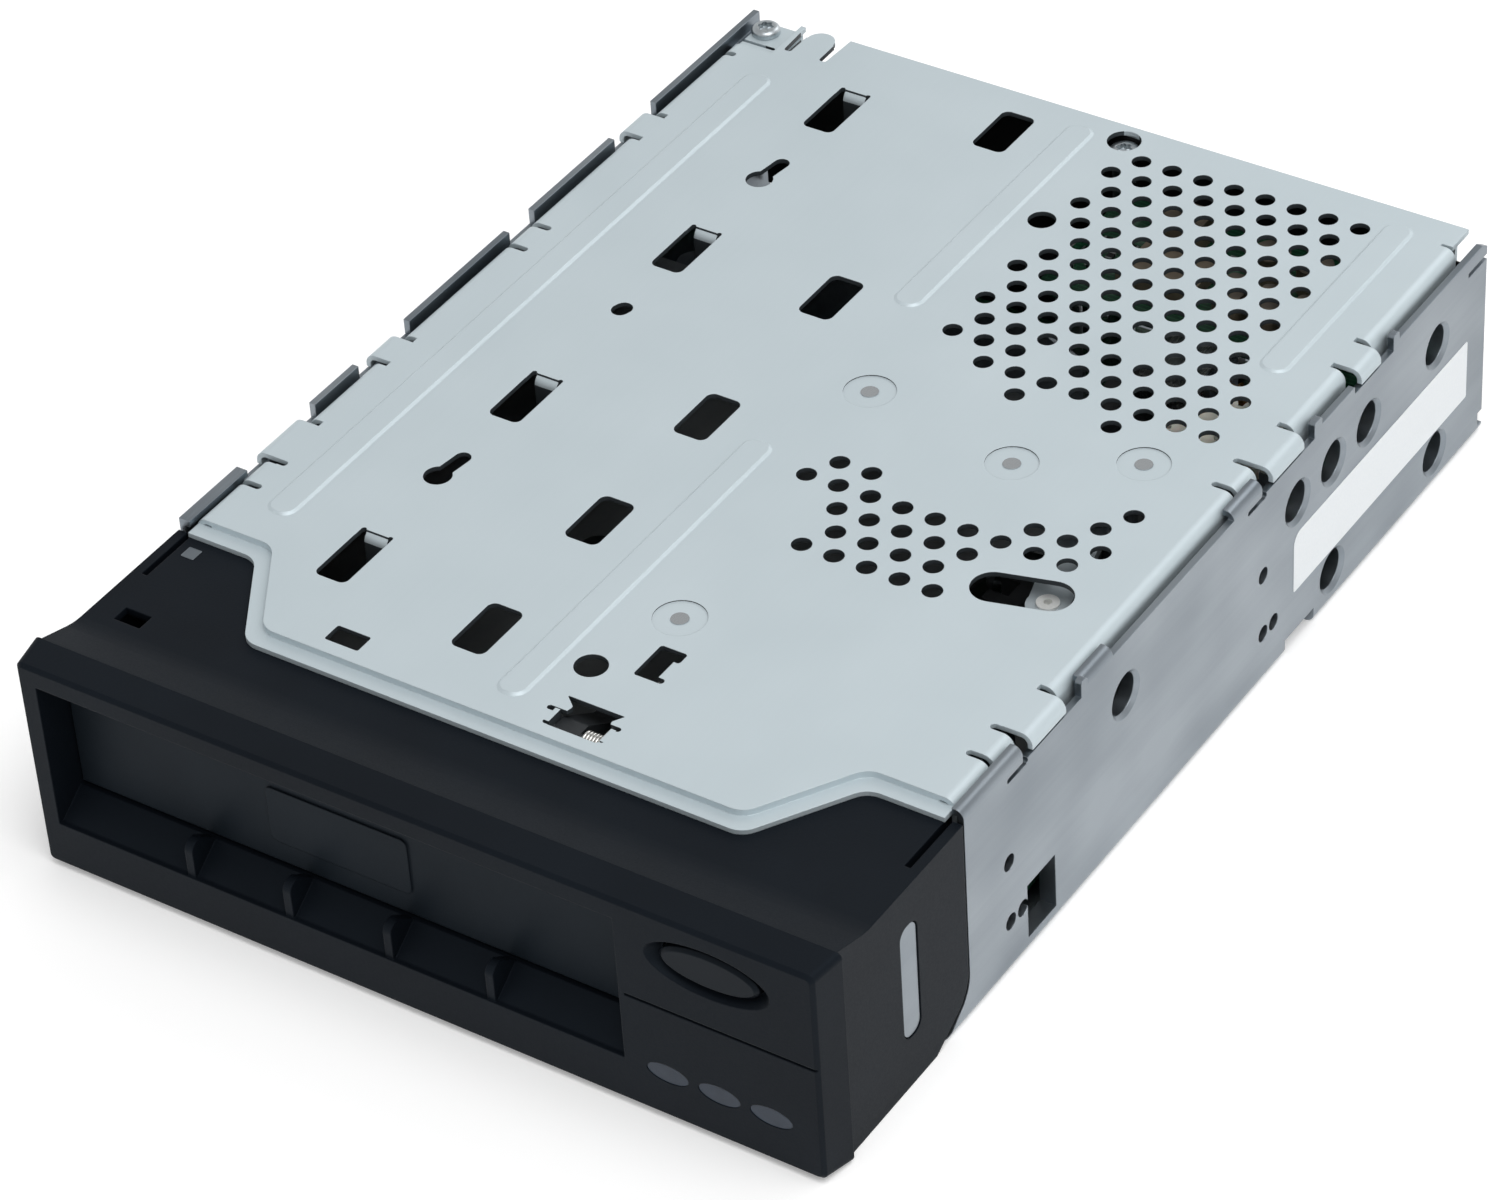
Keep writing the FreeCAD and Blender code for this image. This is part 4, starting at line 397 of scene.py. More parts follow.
# Nickel-plated drawn motor can: bright with rings from the drawing tool
def matMotorCan():
    finish, tree, shader = newFinish("nickelDrawnCan", "B2B3B0", Metallic=1.0, Roughness=0.26)
    rings = finePattern(tree, patternSpace(tree, (1.5, 0.1, 0.1)), 0.5, 3.0)
    mixTones(tree, shader, rings, "A3A4A1", "C2C3BF")
    varyRoughness(tree, shader, rings, 0.2, 0.34)
    return finish


# Extruded PVC ribbon: grey, one ridge for each wire
def matRibbon():
    finish, tree, shader = newFinish("ribbonPvc", "9EA1A4", Metallic=0.0, Roughness=0.5, IOR=1.53)
    ridges = bandPattern(tree, 0.25, "X")
    # grooves between the ridges painted darker: painted shade
    mixTones(tree, shader, ridges, "85888B", "ACAFB2")
    raiseSurface(tree, shader, ridges, 0.2, 0.8)
    return finish


# Diffused epoxy of the status lamps: milky green
def matLampEpoxy():
    finish, tree, shader = newFinish("diffusedLampEpoxy", "B9D6B4", Metallic=0.0, Roughness=0.3, IOR=1.52,
                                     Subsurface_Weight=0.3, Subsurface_Scale=0.5 * mm)
    mixTones(tree, shader, finePattern(tree, patternSpace(tree), 1.0, 1.0), "A8C8A3", "C8E2C3")
    return finish


# Zinc-plated machine screws: bright, slightly blue, with turning marks
def matScrewSteel():
    finish, tree, shader = newFinish("zincPlatedScrew", "B4BABD", Metallic=1.0, Roughness=0.32)
    marks = finePattern(tree, patternSpace(tree), 0.35, 3.0)
    mixTones(tree, shader, marks, "A3AAAE", "C2C8CB")
    varyRoughness(tree, shader, marks, 0.26, 0.4)
    return finish


# Bare self-adhesive polyester label: white, matt, faint paper-like tooth
def matLabelWhite():
    finish, tree, shader = newFinish("mattPolyesterLabel", "E9EDF0", Metallic=0.0, Roughness=0.55, IOR=1.5)
    tooth = finePattern(tree, patternSpace(tree), 0.5, 3.0)
    mixTones(tree, shader, tooth, "E4E9EC", "EEF1F3")
    raiseSurface(tree, shader, tooth, 0.006, 0.4)
    return finish


# Dull tin on the copper leads of chips and chip resistors: pale, softly bright
def matTinnedLead():
    finish, tree, shader = newFinish("tinnedLead", "B9BDBE", Metallic=1.0, Roughness=0.36)
    mixTones(tree, shader, finePattern(tree, patternSpace(tree), 0.6, 3.0), "AAAEAF", "CBCECF")
    return finish


# Black polycarbonate film that insulates the rear of the boards: flat, fine matt side outwards
def matInsulatingFilm():
    finish, tree, shader = newFinish("blackInsulatingFilm", "121315", Metallic=0.0, Roughness=0.6, IOR=1.58)
    tooth = finePattern(tree, patternSpace(tree), 0.4, 2.0)
    varyRoughness(tree, shader, tooth, 0.52, 0.66)
    return finish


# Hold-down arm painted near black as painted shade, for the shade it lies in under the cover's hole: soft
# sheen
def matArmPaintedShade():
    finish, tree, shader = newFinish("armPaintedShade", "24272A", Metallic=0.3, Roughness=0.5)
    mixTones(tree, shader, finePattern(tree, patternSpace(tree), 0.8, 3.0), "1C1F22", "2B2F32")
    return finish


# Lever painted pale and matt as painted light, so that it reads in the shade of the cover
def matLeverPaintedLight():
    finish, tree, shader = newFinish("leverPaintedLight", "AFB8BD", Metallic=0.25, Roughness=0.5)
    mixTones(tree, shader, finePattern(tree, patternSpace(tree), 3.0, 3.0), "A3ADB3", "BBC4C8")
    return finish


# Nickel-plated tubular rivet, toned near white and less metallic as a painted highlight: the one bright ring
# in the lever's slot
def matRivetPaintedGlint():
    finish, tree, shader = newFinish("nickelRivetPaintedGlint", "E6E7E5", Metallic=0.3, Roughness=0.28)
    mixTones(tree, shader, finePattern(tree, patternSpace(tree), 0.5, 2.0), "DEDFDD", "F0F1EE")
    return finish


finishes = {
    "zinc_steel": matZincSteel(),
    "cover_steel": matPlatedSheet(),
    "bezel_plastic": matMouldedCharcoal("mouldedAbsBezel", "080B10", "0F141A", 0.46, 0.62),
    "door_plastic": matMouldedCharcoal("mouldedAbsDoor", "11161B", "1B2127", 0.42, 0.56, 0.3, 0.016),
    "button_plastic": matMouldedCharcoal("mouldedAbsButton", "0B0E12", "14181D", 0.3, 0.42, 0.25, 0.008),
    "lens_plastic": matSmokedLens(),
    "spring_steel": matSpringWire(),
    "ground_steel": matGroundSteel(),
    "die_cast": matDieCast(),
    "board_green": matBoardGreen(),
    "chip_epoxy": matChipEpoxy(),
    "capacitor_can": matCapacitorCan(),
    "film_tan": matTanLacquer(),
    "connector_plastic": matConnectorPlastic(),
    "contact_metal": matContactGold(),
    "nylon_white": matNylon(),
    "bronze": matBronze(),
    "copper_wire": matCopperWire(),
    "tyre_rubber": matTyreRubber(),
    "ferrite": matFerrite(),
    "motor_can": matMotorCan(),
    "ribbon_grey": matRibbon(),
    "lamp_epoxy": matLampEpoxy(),
    "screw_steel": matScrewSteel(),
}
labelWhite = matLabelWhite()
tinnedLead = matTinnedLead()
insulatingFilm = matInsulatingFilm()

# Every CAD node takes the finish of its own slot in the record
for name, node in nodes.items():
    node.data.materials[0] = finishes[node.data.materials[0].name]
# Three pieces that the cover's holes show are finished apart from their slot's other pieces, with painted
# light and shade: the arm painted dark, the lever pale, the rivet bright
shadeAndLightFinishes = {"hold_down_arm": matArmPaintedShade(), "load_lever": matLeverPaintedLight(),
               "lever_rivet": matRivetPaintedGlint()}
for name, finish in shadeAndLightFinishes.items():
    nodes[name].data.materials[0] = finish
print("finishes set:", len(finishes) + len(shadeAndLightFinishes))


def slotOf(nodeName):
    return next(key for key, value in finishes.items() if value == nodes[nodeName].data.materials[0])


# Geometry node trees: built once, given their sizes, and baked to plain meshes
def newTree(name, kinds):
    # tree with one named input for each size
    tree = bpy.data.node_groups.new(name, "GeometryNodeTree")
    tree.interface.new_socket("Geometry", in_out="INPUT", socket_type="NodeSocketGeometry")
    tree.interface.new_socket("Geometry", in_out="OUTPUT", socket_type="NodeSocketGeometry")
    for label, kind in kinds.items():
        tree.interface.new_socket(label, in_out="INPUT", socket_type="NodeSocket" + kind)
    return tree, tree.nodes.new("NodeGroupInput").outputs


def closeTree(tree, geometry, given):
    # every tree ends by making its instances real and giving them their finish
    real = addNode(tree, "GeometryNodeRealizeInstances", {"Geometry": geometry})
    dressed = addNode(tree, "GeometryNodeSetMaterial", {"Geometry": real.outputs["Geometry"],
                                                        "Material": given["Finish"]})
    out = tree.nodes.new("NodeGroupOutput")
    tree.links.new(dressed.outputs["Geometry"], out.inputs["Geometry"])
    return tree


def addPiece(name, shape):
    # object of this name for a mesh, a lamp or a camera
    piece = bpy.data.objects.new(name, shape)
    bpy.context.scene.collection.objects.link(piece)
    return piece


def bakeTree(name, tree, start, sizes):
    # runs a tree on a start mesh and keeps the result as a plain mesh on an object of its own
    holder = addPiece(name + "Start", start)
    recipe = holder.modifiers.new("nodes", "NODES")
    recipe.node_group = tree
    for item in tree.interface.items_tree:
        if item.in_out == "INPUT" and item.name in sizes:
            recipe[item.identifier] = sizes[item.name]
    ready = holder.evaluated_get(bpy.context.evaluated_depsgraph_get())
    mesh = bpy.data.meshes.new_from_object(ready)
    mesh.name = name
    holder.modifiers.remove(recipe)
    bpy.data.objects.remove(holder)
    return addPiece(name, mesh)


def showPiece(piece, body, replaced=()):
    # a finished piece rides on its body and stands for the nodes that it replaces
    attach(piece, body)
    if replaced:
        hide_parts(*replaced)
    return piece


def pointAt(x, d, z):
    # place from millimetres: right of the middle, behind the front face, above the underside
    return Vector((x * mm, back(d), z * mm))


def startMesh(name, points, edges=(), faces=()):
    mesh = bpy.data.meshes.new(name)
    mesh.from_pydata([tuple(p) for p in points], list(edges), list(faces))
    return mesh


def makeWireTree():
    # round wire along the edges of the start mesh
    tree, given = newTree("roundWire", {"Wire": "Float", "Sides": "Int", "Finish": "Material"})
    path = addNode(tree, "GeometryNodeMeshToCurve", {"Mesh": given["Geometry"]})
    ring = addNode(tree, "GeometryNodeCurvePrimitiveCircle", {"Resolution": given["Sides"],
                                                              "Radius": given["Wire"]})
    tube = addNode(tree, "GeometryNodeCurveToMesh", {"Curve": path.outputs["Curve"], "Fill Caps": True,
                                                     "Profile Curve": ring.outputs["Curve"]})
    smooth = addNode(tree, "GeometryNodeSetShadeSmooth", {"Geometry": tube.outputs["Mesh"]})
    return closeTree(tree, smooth.outputs["Geometry"], given)


# Half widths of a thread's crest and of its foot, as shares of the lead
ridgeShape = {"crest": 0.13, "foot": 0.34}


def makeThreadTree():
    # rod along Z whose skin rises to a thread: ridge height from the angle and the distance along the rod
    tree, given = newTree("threadedRod", {"Length": "Float", "Threaded": "Float", "Lead": "Float",
                                          "Root": "Float", "Tip": "Float", "Sides": "Int", "Rows": "Int",
                                          "Finish": "Material"})
    rod = addNode(tree, "GeometryNodeMeshCylinder", {"Vertices": given["Sides"], "Radius": 1.0,
                                                     "Side Segments": given["Rows"],
                                                     "Depth": given["Length"]})
    position = tree.nodes.new("GeometryNodeInputPosition").outputs[0]
    place = splitAxes(tree, position)
    around = maths(tree, "DIVIDE", maths(tree, "ARCTAN2", place["Y"], place["X"]), 2 * math.pi)
    along = maths(tree, "DIVIDE", place["Z"], given["Lead"])
    phase = maths(tree, "FRACT", maths(tree, "SUBTRACT", along, around))
    away = maths(tree, "ABSOLUTE", maths(tree, "SUBTRACT", phase, 0.5))
    ridge = remap(tree, away, ridgeShape["crest"], ridgeShape["foot"], 1.0, 0.0)
    half = maths(tree, "MULTIPLY", given["Threaded"], 0.5)
    fade = remap(tree, maths(tree, "ABSOLUTE", place["Z"]), maths(tree, "SUBTRACT", half, given["Lead"]),
                 half, 1.0, 0.0)
    rise = maths(tree, "MULTIPLY", ridge, fade)
    radius = remap(tree, rise, 0.0, 1.0, given["Root"], given["Tip"])
    scale = addNode(tree, "ShaderNodeCombineXYZ", {"X": radius, "Y": radius, "Z": 1.0})
    moved = addNode(tree, "ShaderNodeVectorMath", {0: position, 1: scale.outputs[0]}, operation="MULTIPLY")
    skin = addNode(tree, "GeometryNodeSetPosition", {"Geometry": rod.outputs["Mesh"],
                                                     "Position": moved.outputs[0]})
    return closeTree(tree, skin.outputs["Geometry"], given)


wholeTurn = 6.28


def makeScrewTree():
    # one blank at each point of the start mesh, each turned about its own axis as a driver left it
    tree, given = newTree("placedScrews", {"Blank": "Object", "Axis": "Vector", "Seed": "Int",
                                           "Finish": "Material"})
    blank = addNode(tree, "GeometryNodeObjectInfo", {"Object": given["Blank"]})
    angle = addNode(tree, "FunctionNodeRandomValue", {"Seed": given["Seed"], 2: 0.0, 3: wholeTurn})
    turn = addNode(tree, "FunctionNodeAxisAngleToRotation", {"Axis": given["Axis"],
                                                             "Angle": angle.outputs[1]})
    screws = addNode(tree, "GeometryNodeInstanceOnPoints", {"Points": given["Geometry"],
                                                            "Instance": blank.outputs["Geometry"],
                                                            "Rotation": turn.outputs[0]})
    return closeTree(tree, screws.outputs["Instances"], given)


def makeRowTree():
    # blanks at an even pitch along the edges of the start mesh, their X along the edge
    tree, given = newTree("evenRow", {"Blank": "Object", "Pitch": "Float", "Finish": "Material"})
    path = addNode(tree, "GeometryNodeMeshToCurve", {"Mesh": given["Geometry"]})
    steps = addNode(tree, "GeometryNodeResampleCurve", {"Curve": path.outputs["Curve"],
                                                        "Length": given["Pitch"]}, mode="LENGTH")
    heading = tree.nodes.new("GeometryNodeInputTangent")
    turn = addNode(tree, "FunctionNodeAlignRotationToVector", {"Vector": heading.outputs[0]},
                   axis="X", pivot_axis="Z")
    blank = addNode(tree, "GeometryNodeObjectInfo", {"Object": given["Blank"]})
    row = addNode(tree, "GeometryNodeInstanceOnPoints", {"Points": steps.outputs["Curve"],
                                                         "Instance": blank.outputs["Geometry"],
                                                         "Rotation": turn.outputs[0]})
    return closeTree(tree, row.outputs["Instances"], given)


# Tries for each square metre of board; the gap between the parts thins them out
tryDensity = 250000.0


def makeScatterTree():
    # blanks strewn over the faces of the start mesh, no nearer than a gap, in quarter turns
    tree, given = newTree("strewnParts", {"Blank": "Object", "Gap": "Float", "Seed": "Int",
                                          "Finish": "Material"})
    spots = addNode(tree, "GeometryNodeDistributePointsOnFaces",
                    {"Mesh": given["Geometry"], "Distance Min": given["Gap"], "Density Max": tryDensity,
                     "Seed": given["Seed"]}, distribute_method="POISSON")
    side = addNode(tree, "FunctionNodeRandomValue", {"Seed": given["Seed"], 4: 0, 5: 1}, data_type="INT")
    angle = maths(tree, "MULTIPLY", side.outputs[2], math.pi / 2)
    turn = addNode(tree, "FunctionNodeAxisAngleToRotation", {"Axis": (0, 0, 1), "Angle": angle})
    blank = addNode(tree, "GeometryNodeObjectInfo", {"Object": given["Blank"]})
    parts = addNode(tree, "GeometryNodeInstanceOnPoints", {"Points": spots.outputs["Points"],
                                                           "Instance": blank.outputs["Geometry"],
                                                           "Rotation": turn.outputs[0]})
    return closeTree(tree, parts.outputs["Instances"], given)


wireTree = makeWireTree()
threadTree = makeThreadTree()
screwTree = makeScrewTree()
rowTree = makeRowTree()
scatterTree = makeScatterTree()
print("node trees built")

# Wound springs: two torsion springs with both legs on the coil's path, and one that pushes the button
holdSpring = {"firstX": 13.08, "pitch": 0.56, "turns": 5.25, "radius": 1.48, "wire": 0.265, "depth": 30.6,
              "height": 38.3, "startAngle": 180.0, "way": -1, "shortLeg": (13.08, 29.4, 36.1),
              "longLeg": (16.38, 50.1, 39.75), "perTurn": 28}
doorSpring = {"firstX": -59.8, "pitch": 0.56, "turns": 4.8125, "radius": 1.43, "wire": 0.265, "depth": 7.4,
              "height": 35.7, "startAngle": 0.0, "way": 1, "shortLeg": (-59.8, 8.7, 27.7),
              "longLeg": (-56.9, 14.4, 37.2), "perTurn": 28, "grip": 0.3}
ejectSpring = {"turns": 3.0, "radius": 2.1, "wire": 0.26, "front": 5.66, "rear": 8.5, "x": 54.4,
               "height": 33.5, "perTurn": 32, "pressed": 0.41}
springSides = 12


def torsionSpringPath(spring):
    points = [pointAt(*spring["shortLeg"])]
    steps = int(spring["turns"] * spring["perTurn"])
    for k in range(steps + 1):
        turned = k / spring["perTurn"]
        angle = math.radians(spring["startAngle"]) + spring["way"] * 2 * math.pi * turned
        points.append(pointAt(spring["firstX"] + spring["pitch"] * turned,
                              spring["depth"] + spring["radius"] * math.cos(angle),
                              spring["height"] + spring["radius"] * math.sin(angle)))
    points.append(pointAt(*spring["longLeg"]))
    return points


def pushSpringPath(spring):
    # open turns along the depth, flattened to one ring at each end
    points = []
    steps = int((spring["turns"] + 1) * spring["perTurn"])
    for k in range(steps + 1):
        turned = k / spring["perTurn"]
        rise = min(max((turned - 0.5) / spring["turns"], 0.0), 1.0)
        angle = 2 * math.pi * turned
        points.append(pointAt(spring["x"] + spring["radius"] * math.cos(angle),
                              spring["front"] + (spring["rear"] - spring["front"]) * rise,
                              spring["height"] + spring["radius"] * math.sin(angle)))
    return points


def makeSpring(name, points, spring):
    path = startMesh(name + "Path", points, [(k, k + 1) for k in range(len(points) - 1)])
    sizes = {"Wire": spring["wire"] * mm, "Sides": springSides, "Finish": finishes["spring_steel"]}
    return bakeTree(name, wireTree, path, sizes)


holdWire = makeSpring("holdDownWire", torsionSpringPath(holdSpring), holdSpring)
showPiece(holdWire, "chassis", ["hold_down_spring"])

# The door spring: short leg by the door, long leg under the roof
doorWire = makeSpring("doorWire", torsionSpringPath(doorSpring), doorSpring)
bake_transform(doorWire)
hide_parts("door_spring")

# The eject spring stands in front of its rear seat
ejectWire = makeSpring("ejectWire", pushSpringPath(ejectSpring), ejectSpring)
showPiece(ejectWire, "chassis", ["eject_spring"])
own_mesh(ejectWire)
print("springs wound")

# Worm and lead screw: threads cut on plain rods
worm = {"Length": 12.6, "Threaded": 9.6, "Lead": 1.885, "Root": 1.14, "Tip": 2.4, "Sides": 40, "Rows": 110}
leadScrew = {"Length": 24.75, "Threaded": 23.9, "Lead": 1.5, "Root": 0.86, "Tip": 1.3, "Sides": 24,
             "Rows": 200}


def makeThread(name, rod, nodeName, axisTurn):
    # the rod is made along Z about the origin, then laid in its node's place
    low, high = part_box(nodeName)
    sizes = {key: value * mm if isinstance(value, float) else value for key, value in rod.items()}
    sizes["Finish"] = finishes[slotOf(nodeName)]
    piece = bakeTree(name, threadTree, startMesh(name + "Start", [(0, 0, 0)]), sizes)
    piece.data.transform(Matrix.Translation((low + high) / 2) @ Euler(axisTurn).to_matrix().to_4x4())
    showPiece(piece, nodes[nodeName]["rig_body"], [nodeName])


makeThread("wormThread", worm, "load_worm", (0, math.pi / 2, 0))
makeThread("leadScrewThread", leadScrew, "lead_screw", (0, 0, 0))
print("threads cut")

# Screws: rings of points from the shank's end up over the head and down into the driver's recess
panScrew = {"shank": 1.3, "below": 4.4, "head": 2.6, "rise": 1.5, "dome": 0.8, "recess": 1.3, "deep": 0.9,
            "lobes": 6, "lobeDepth": 0.16, "sides": 48}
sunkScrew = dict(panScrew, below=5.9, rise=1.4, dome=0.35)
boardScrew = dict(panScrew, shank=1.25, below=3.5, head=2.5, rise=1.6, dome=0.6, recess=1.05, lobes=4,
                  lobeDepth=0.42)
smallScrew = dict(boardScrew, shank=0.9, below=5.1, head=1.9, rise=1.3, dome=0.45, recess=0.85, deep=0.7)
flatScrew = dict(boardScrew, shank=1.24, below=8.0, head=2.5, rise=1.0, dome=0.0, recess=0.95, deep=0.7)
screwSets = [
    ("cornerScrew", panScrew, [(-68.2, 206.9, 39.5)], "cover_screws", 0, 4),
    ("sunkCoverScrew", sunkScrew, [(6.1, 205.4, 38.2)], "cover_screws", 0, 9),
    ("boardScrewSet", boardScrew,
     [(-60.0, 70.0, 4.6), (63.0, 72.0, 4.6), (-62.0, 184.0, 4.6), (62.0, 184.0, 4.6)], "board_screws", 0, 5),
    ("frontBoardScrewSet", smallScrew, [(44.0, 13.2, 20.5), (66.0, 13.2, 20.5)],
     "front_board_screws", -90, 6),
    ("baseScrewSet", flatScrew,
     [(-62.0, 52.0, 1.06), (62.0, 52.0, 1.06), (-62.0, 158.0, 1.06), (62.0, 158.0, 1.06)],
     "base_screws", 180, 7),
]
# Shares and millimetres that every screw has alike: its point, the edge of its head, the rim of its recess
screwEdges = {"pointShare": 0.7, "pointRise": 0.4, "flatEdge": 0.12, "flatInset": 0.08, "panInset": 0.12,
              "panEdge": 0.1, "domeSteps": 8, "rim": 0.06, "rimDrop": 0.03, "taper": 0.92, "cone": 0.25}


def recessReach(screw, radius, angle):
    # how far the driver's recess reaches at an angle: six round lobes, or a cross
    wave = math.cos(screw["lobes"] * angle)
    if screw["lobes"] == 6:
        return radius * (1 + screw["lobeDepth"] * wave)
    return radius * (1 - screw["lobeDepth"] + 2 * screw["lobeDepth"] * max(wave, -0.4))


def screwBlank(name, screw):
    # underside of the head at the origin, head rising along Z
    rise, head, dome, sides = screw["rise"], screw["head"], screw["dome"], screw["sides"]
    edges = screwEdges
    rim = screw["recess"] * (1 + screw["lobeDepth"]) + edges["rim"]
    rings = [(-screw["below"], screw["shank"] * edges["pointShare"]),
             (edges["pointRise"] - screw["below"], screw["shank"]), (0.0, screw["shank"])]
    if dome == 0:
        rings += [(rise - edges["flatEdge"], head), (rise, head - edges["flatInset"]), (rise, rim)]
    else:
        rings += [(0.0, head - edges["panInset"]), (edges["panEdge"], head), (rise - dome, head)]
        for step in range(1, edges["domeSteps"] + 1):
            lift = step / edges["domeSteps"] * math.pi / 2
            rings.append((rise - dome + dome * math.sin(lift), rim + (head - rim) * math.cos(lift)))
    plain = len(rings)
    rings += [(rise - edges["rimDrop"], screw["recess"]),
              (rise - screw["deep"], screw["recess"] * edges["taper"])]
    points = []
    for row, (z, radius) in enumerate(rings):
        for k in range(sides):
            angle = 2 * math.pi * k / sides
            reach = radius if row < plain else recessReach(screw, radius, angle)
            points.append((reach * math.cos(angle) * mm, reach * math.sin(angle) * mm, z * mm))
    faces = []
    for row in range(len(rings) - 1):
        for k in range(sides):
            a = row * sides + k
            b = row * sides + (k + 1) % sides
            faces.append((a, b, b + sides, a + sides))
    points += [(0, 0, -screw["below"] * mm), (0, 0, (rise - screw["deep"] - edges["cone"]) * mm)]
    last = (len(rings) - 1) * sides
    for k in range(sides):
        after = (k + 1) % sides
        faces.append((after, k, len(points) - 2))
        faces.append((last + k, last + after, len(points) - 1))
    return startMesh(name, points, [], faces)


for name, screw, places, nodeName, tilt, seed in screwSets:
    lay = Euler((math.radians(tilt), 0, 0)).to_matrix()
    blank = addPiece(name + "Blank", screwBlank(name + "Blank", screw))
    blank.data.transform(lay.to_4x4())
    sizes = {"Blank": blank, "Axis": tuple(lay.col[2]), "Seed": seed, "Finish": finishes["screw_steel"]}
    piece = bakeTree(name, screwTree, startMesh(name + "Places", [pointAt(*p) for p in places]), sizes)
    bpy.data.objects.remove(blank)
    showPiece(piece, "chassis", [nodeName])
print("screws driven")


# Flat pieces: closed prisms on outlines in millimetres
cornerSteps = 8


def roundedOutline(u0, u1, v0, v1, radii):
    # rectangle, anticlockwise from its low corner, with a radius for each corner
    corners = [(u0, v0, 1, 1, 180), (u1, v0, -1, 1, 270), (u1, v1, -1, -1, 0), (u0, v1, 1, -1, 90)]
    outline = []
    for (u, v, du, dv, start), radius in zip(corners, radii):
        for k in range(cornerSteps + 1 if radius > 0 else 1):
            angle = math.radians(start + 90 * k / cornerSteps)
            outline.append((u + radius * (du + math.cos(angle)), v + radius * (dv + math.sin(angle))))
    return outline


def prismMesh(name, outline, low, high, place):
    count = len(outline)
    points = [place(u, v, w) for w in (low, high) for u, v in outline]
    faces = [(k, (k + 1) % count, count + (k + 1) % count, count + k) for k in range(count)]
    faces += [tuple(reversed(range(count))), tuple(range(count, 2 * count))]
    mesh = startMesh(name, points, [], faces)
    shape = bmesh.new()
    shape.from_mesh(mesh)
    bmesh.ops.recalc_face_normals(shape, faces=shape.faces)
    shape.to_mesh(mesh)
    shape.free()
    return mesh


def flatPiece(name, outline, low, high, place, finish, body):
    mesh = prismMesh(name, outline, low, high, place)
    mesh.materials.append(finish)
    return showPiece(addPiece(name, mesh), body)


def onSide(d, z, x):
    return pointAt(x, d, z)


def onTop(x, d, z):
    return pointAt(x, d, z)


def onRear(x, z, d):
    return pointAt(x, d, z)


# Front tongues of the tray: each reaches into the bezel's side wall, its raised boss filling the slot there
tongue = {"front": 21.0, "rear": 45.7, "low": 8.0, "high": 33.0, "outer": 71.7, "sheet": 1.2, "round": 2,
          "slotFront": 23.0, "slotRear": 27.8, "slotLow": 9.6, "slotHigh": 31.6, "gap": 0.22,
          "bossFace": 72.85, "bossRound": 1.8}
for side, name in ((1, "rightTongue"), (-1, "leftTongue")):
    strip = roundedOutline(tongue["front"], tongue["rear"], tongue["low"], tongue["high"],
                           (tongue["round"], 0, 0, tongue["round"]))
    inner = tongue["outer"] - tongue["sheet"]
    flatPiece(name, strip, side * inner, side * tongue["outer"], onSide, finishes["zinc_steel"], "chassis")
    boss = roundedOutline(tongue["slotFront"] + tongue["gap"], tongue["slotRear"] - tongue["gap"],
                          tongue["slotLow"] + tongue["gap"], tongue["slotHigh"] - tongue["gap"],
                          (tongue["bossRound"],) * 4)
    flatPiece(name + "Boss", boss, side * tongue["outer"], side * tongue["bossFace"], onSide,
              finishes["zinc_steel"], "chassis")

# Bare label on the right wall, one corner rounded more, and the small plate on the bezel's top
label = {"front": 143.2, "rear": 204.0, "low": 11.2, "high": 22.8, "thick": 0.08, "wall": 73.0,
         "rounds": (0.4, 0.4, 0.4, 2.5)}
flatPiece("sideLabel",
          roundedOutline(label["front"], label["rear"], label["low"], label["high"], label["rounds"]),
          label["wall"], label["wall"] + label["thick"], onSide, labelWhite, "chassis")
topPlate = {"x": -67.4, "depth": 37.3, "half": 1.25, "face": 38.9, "thick": 0.06, "round": 0.2}
reach = topPlate["half"]
flatPiece("bezelTopPlate",
          roundedOutline(topPlate["x"] - reach, topPlate["x"] + reach, topPlate["depth"] - reach,
                         topPlate["depth"] + reach, (topPlate["round"],) * 4),
          topPlate["face"], topPlate["face"] + topPlate["thick"], onTop, finishes["zinc_steel"], "chassis")

# Insulating film: stuck to the inner face of the cover's skirt, cut to pass round both connectors
film = {"face": 208.9, "thick": 0.25, "reach": 71.0, "low": 5.4, "top": 39.5, "shoulder": 34.6,
        "left": -50.3, "right": 67.4, "header": 9.6, "gap": 0.4}
dataLow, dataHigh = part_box("hd_connector")
powerLow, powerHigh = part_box("power_connector")


def filmOutline():
    gap = film["gap"]
    outline = [(-film["reach"], film["low"])]
    for low, high, after in ((dataLow, dataHigh, film["header"]), (powerLow, powerHigh, film["low"])):
        before = outline[-1][1]
        outline += [(low.x / mm - gap, before), (low.x / mm - gap, high.z / mm + gap),
                    (high.x / mm + gap, high.z / mm + gap), (high.x / mm + gap, after)]
    outline += [(film["reach"], film["low"]), (film["reach"], film["shoulder"]),
                (film["right"], film["shoulder"]), (film["right"], film["top"]), (film["left"], film["top"]),
                (film["left"], film["shoulder"]), (-film["reach"], film["shoulder"])]
    return outline


flatPiece("rearFilm", filmOutline(), film["face"] - film["thick"], film["face"], onRear, insulatingFilm,
          "chassis")
print("tongues, label and film placed")

# Leads of the chips, and small chip resistors strewn over the free stretches of the boards
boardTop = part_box("main_board")[1].z / mm
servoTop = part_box("servo_board")[1].z / mm
leadShape = {"width": 0.42, "sheet": 0.16, "root": 0.1, "out": 1.5, "shoulder": 0.55, "fall": 0.3,
             "heel": 0.35, "rise": 1.0, "pitch": 1.27, "inset": 1.1}
# Each chip's middle, half width, whole depth, and how many of its sides carry leads
chips = [(-40.0, 98.0, 14.0, 14.0, 4), (-8.0, 92.0, 14.0, 20.0, 2), (-46.0, 134.0, 10.0, 18.0, 2),
         (-6.0, 136.0, 20.0, 14.0, 4), (-40.0, 182.0, 14.0, 9.0, 2), (20.0, 162.0, 9.0, 9.0, 4),
         (40.0, 150.0, 8.0, 6.0, 2)]


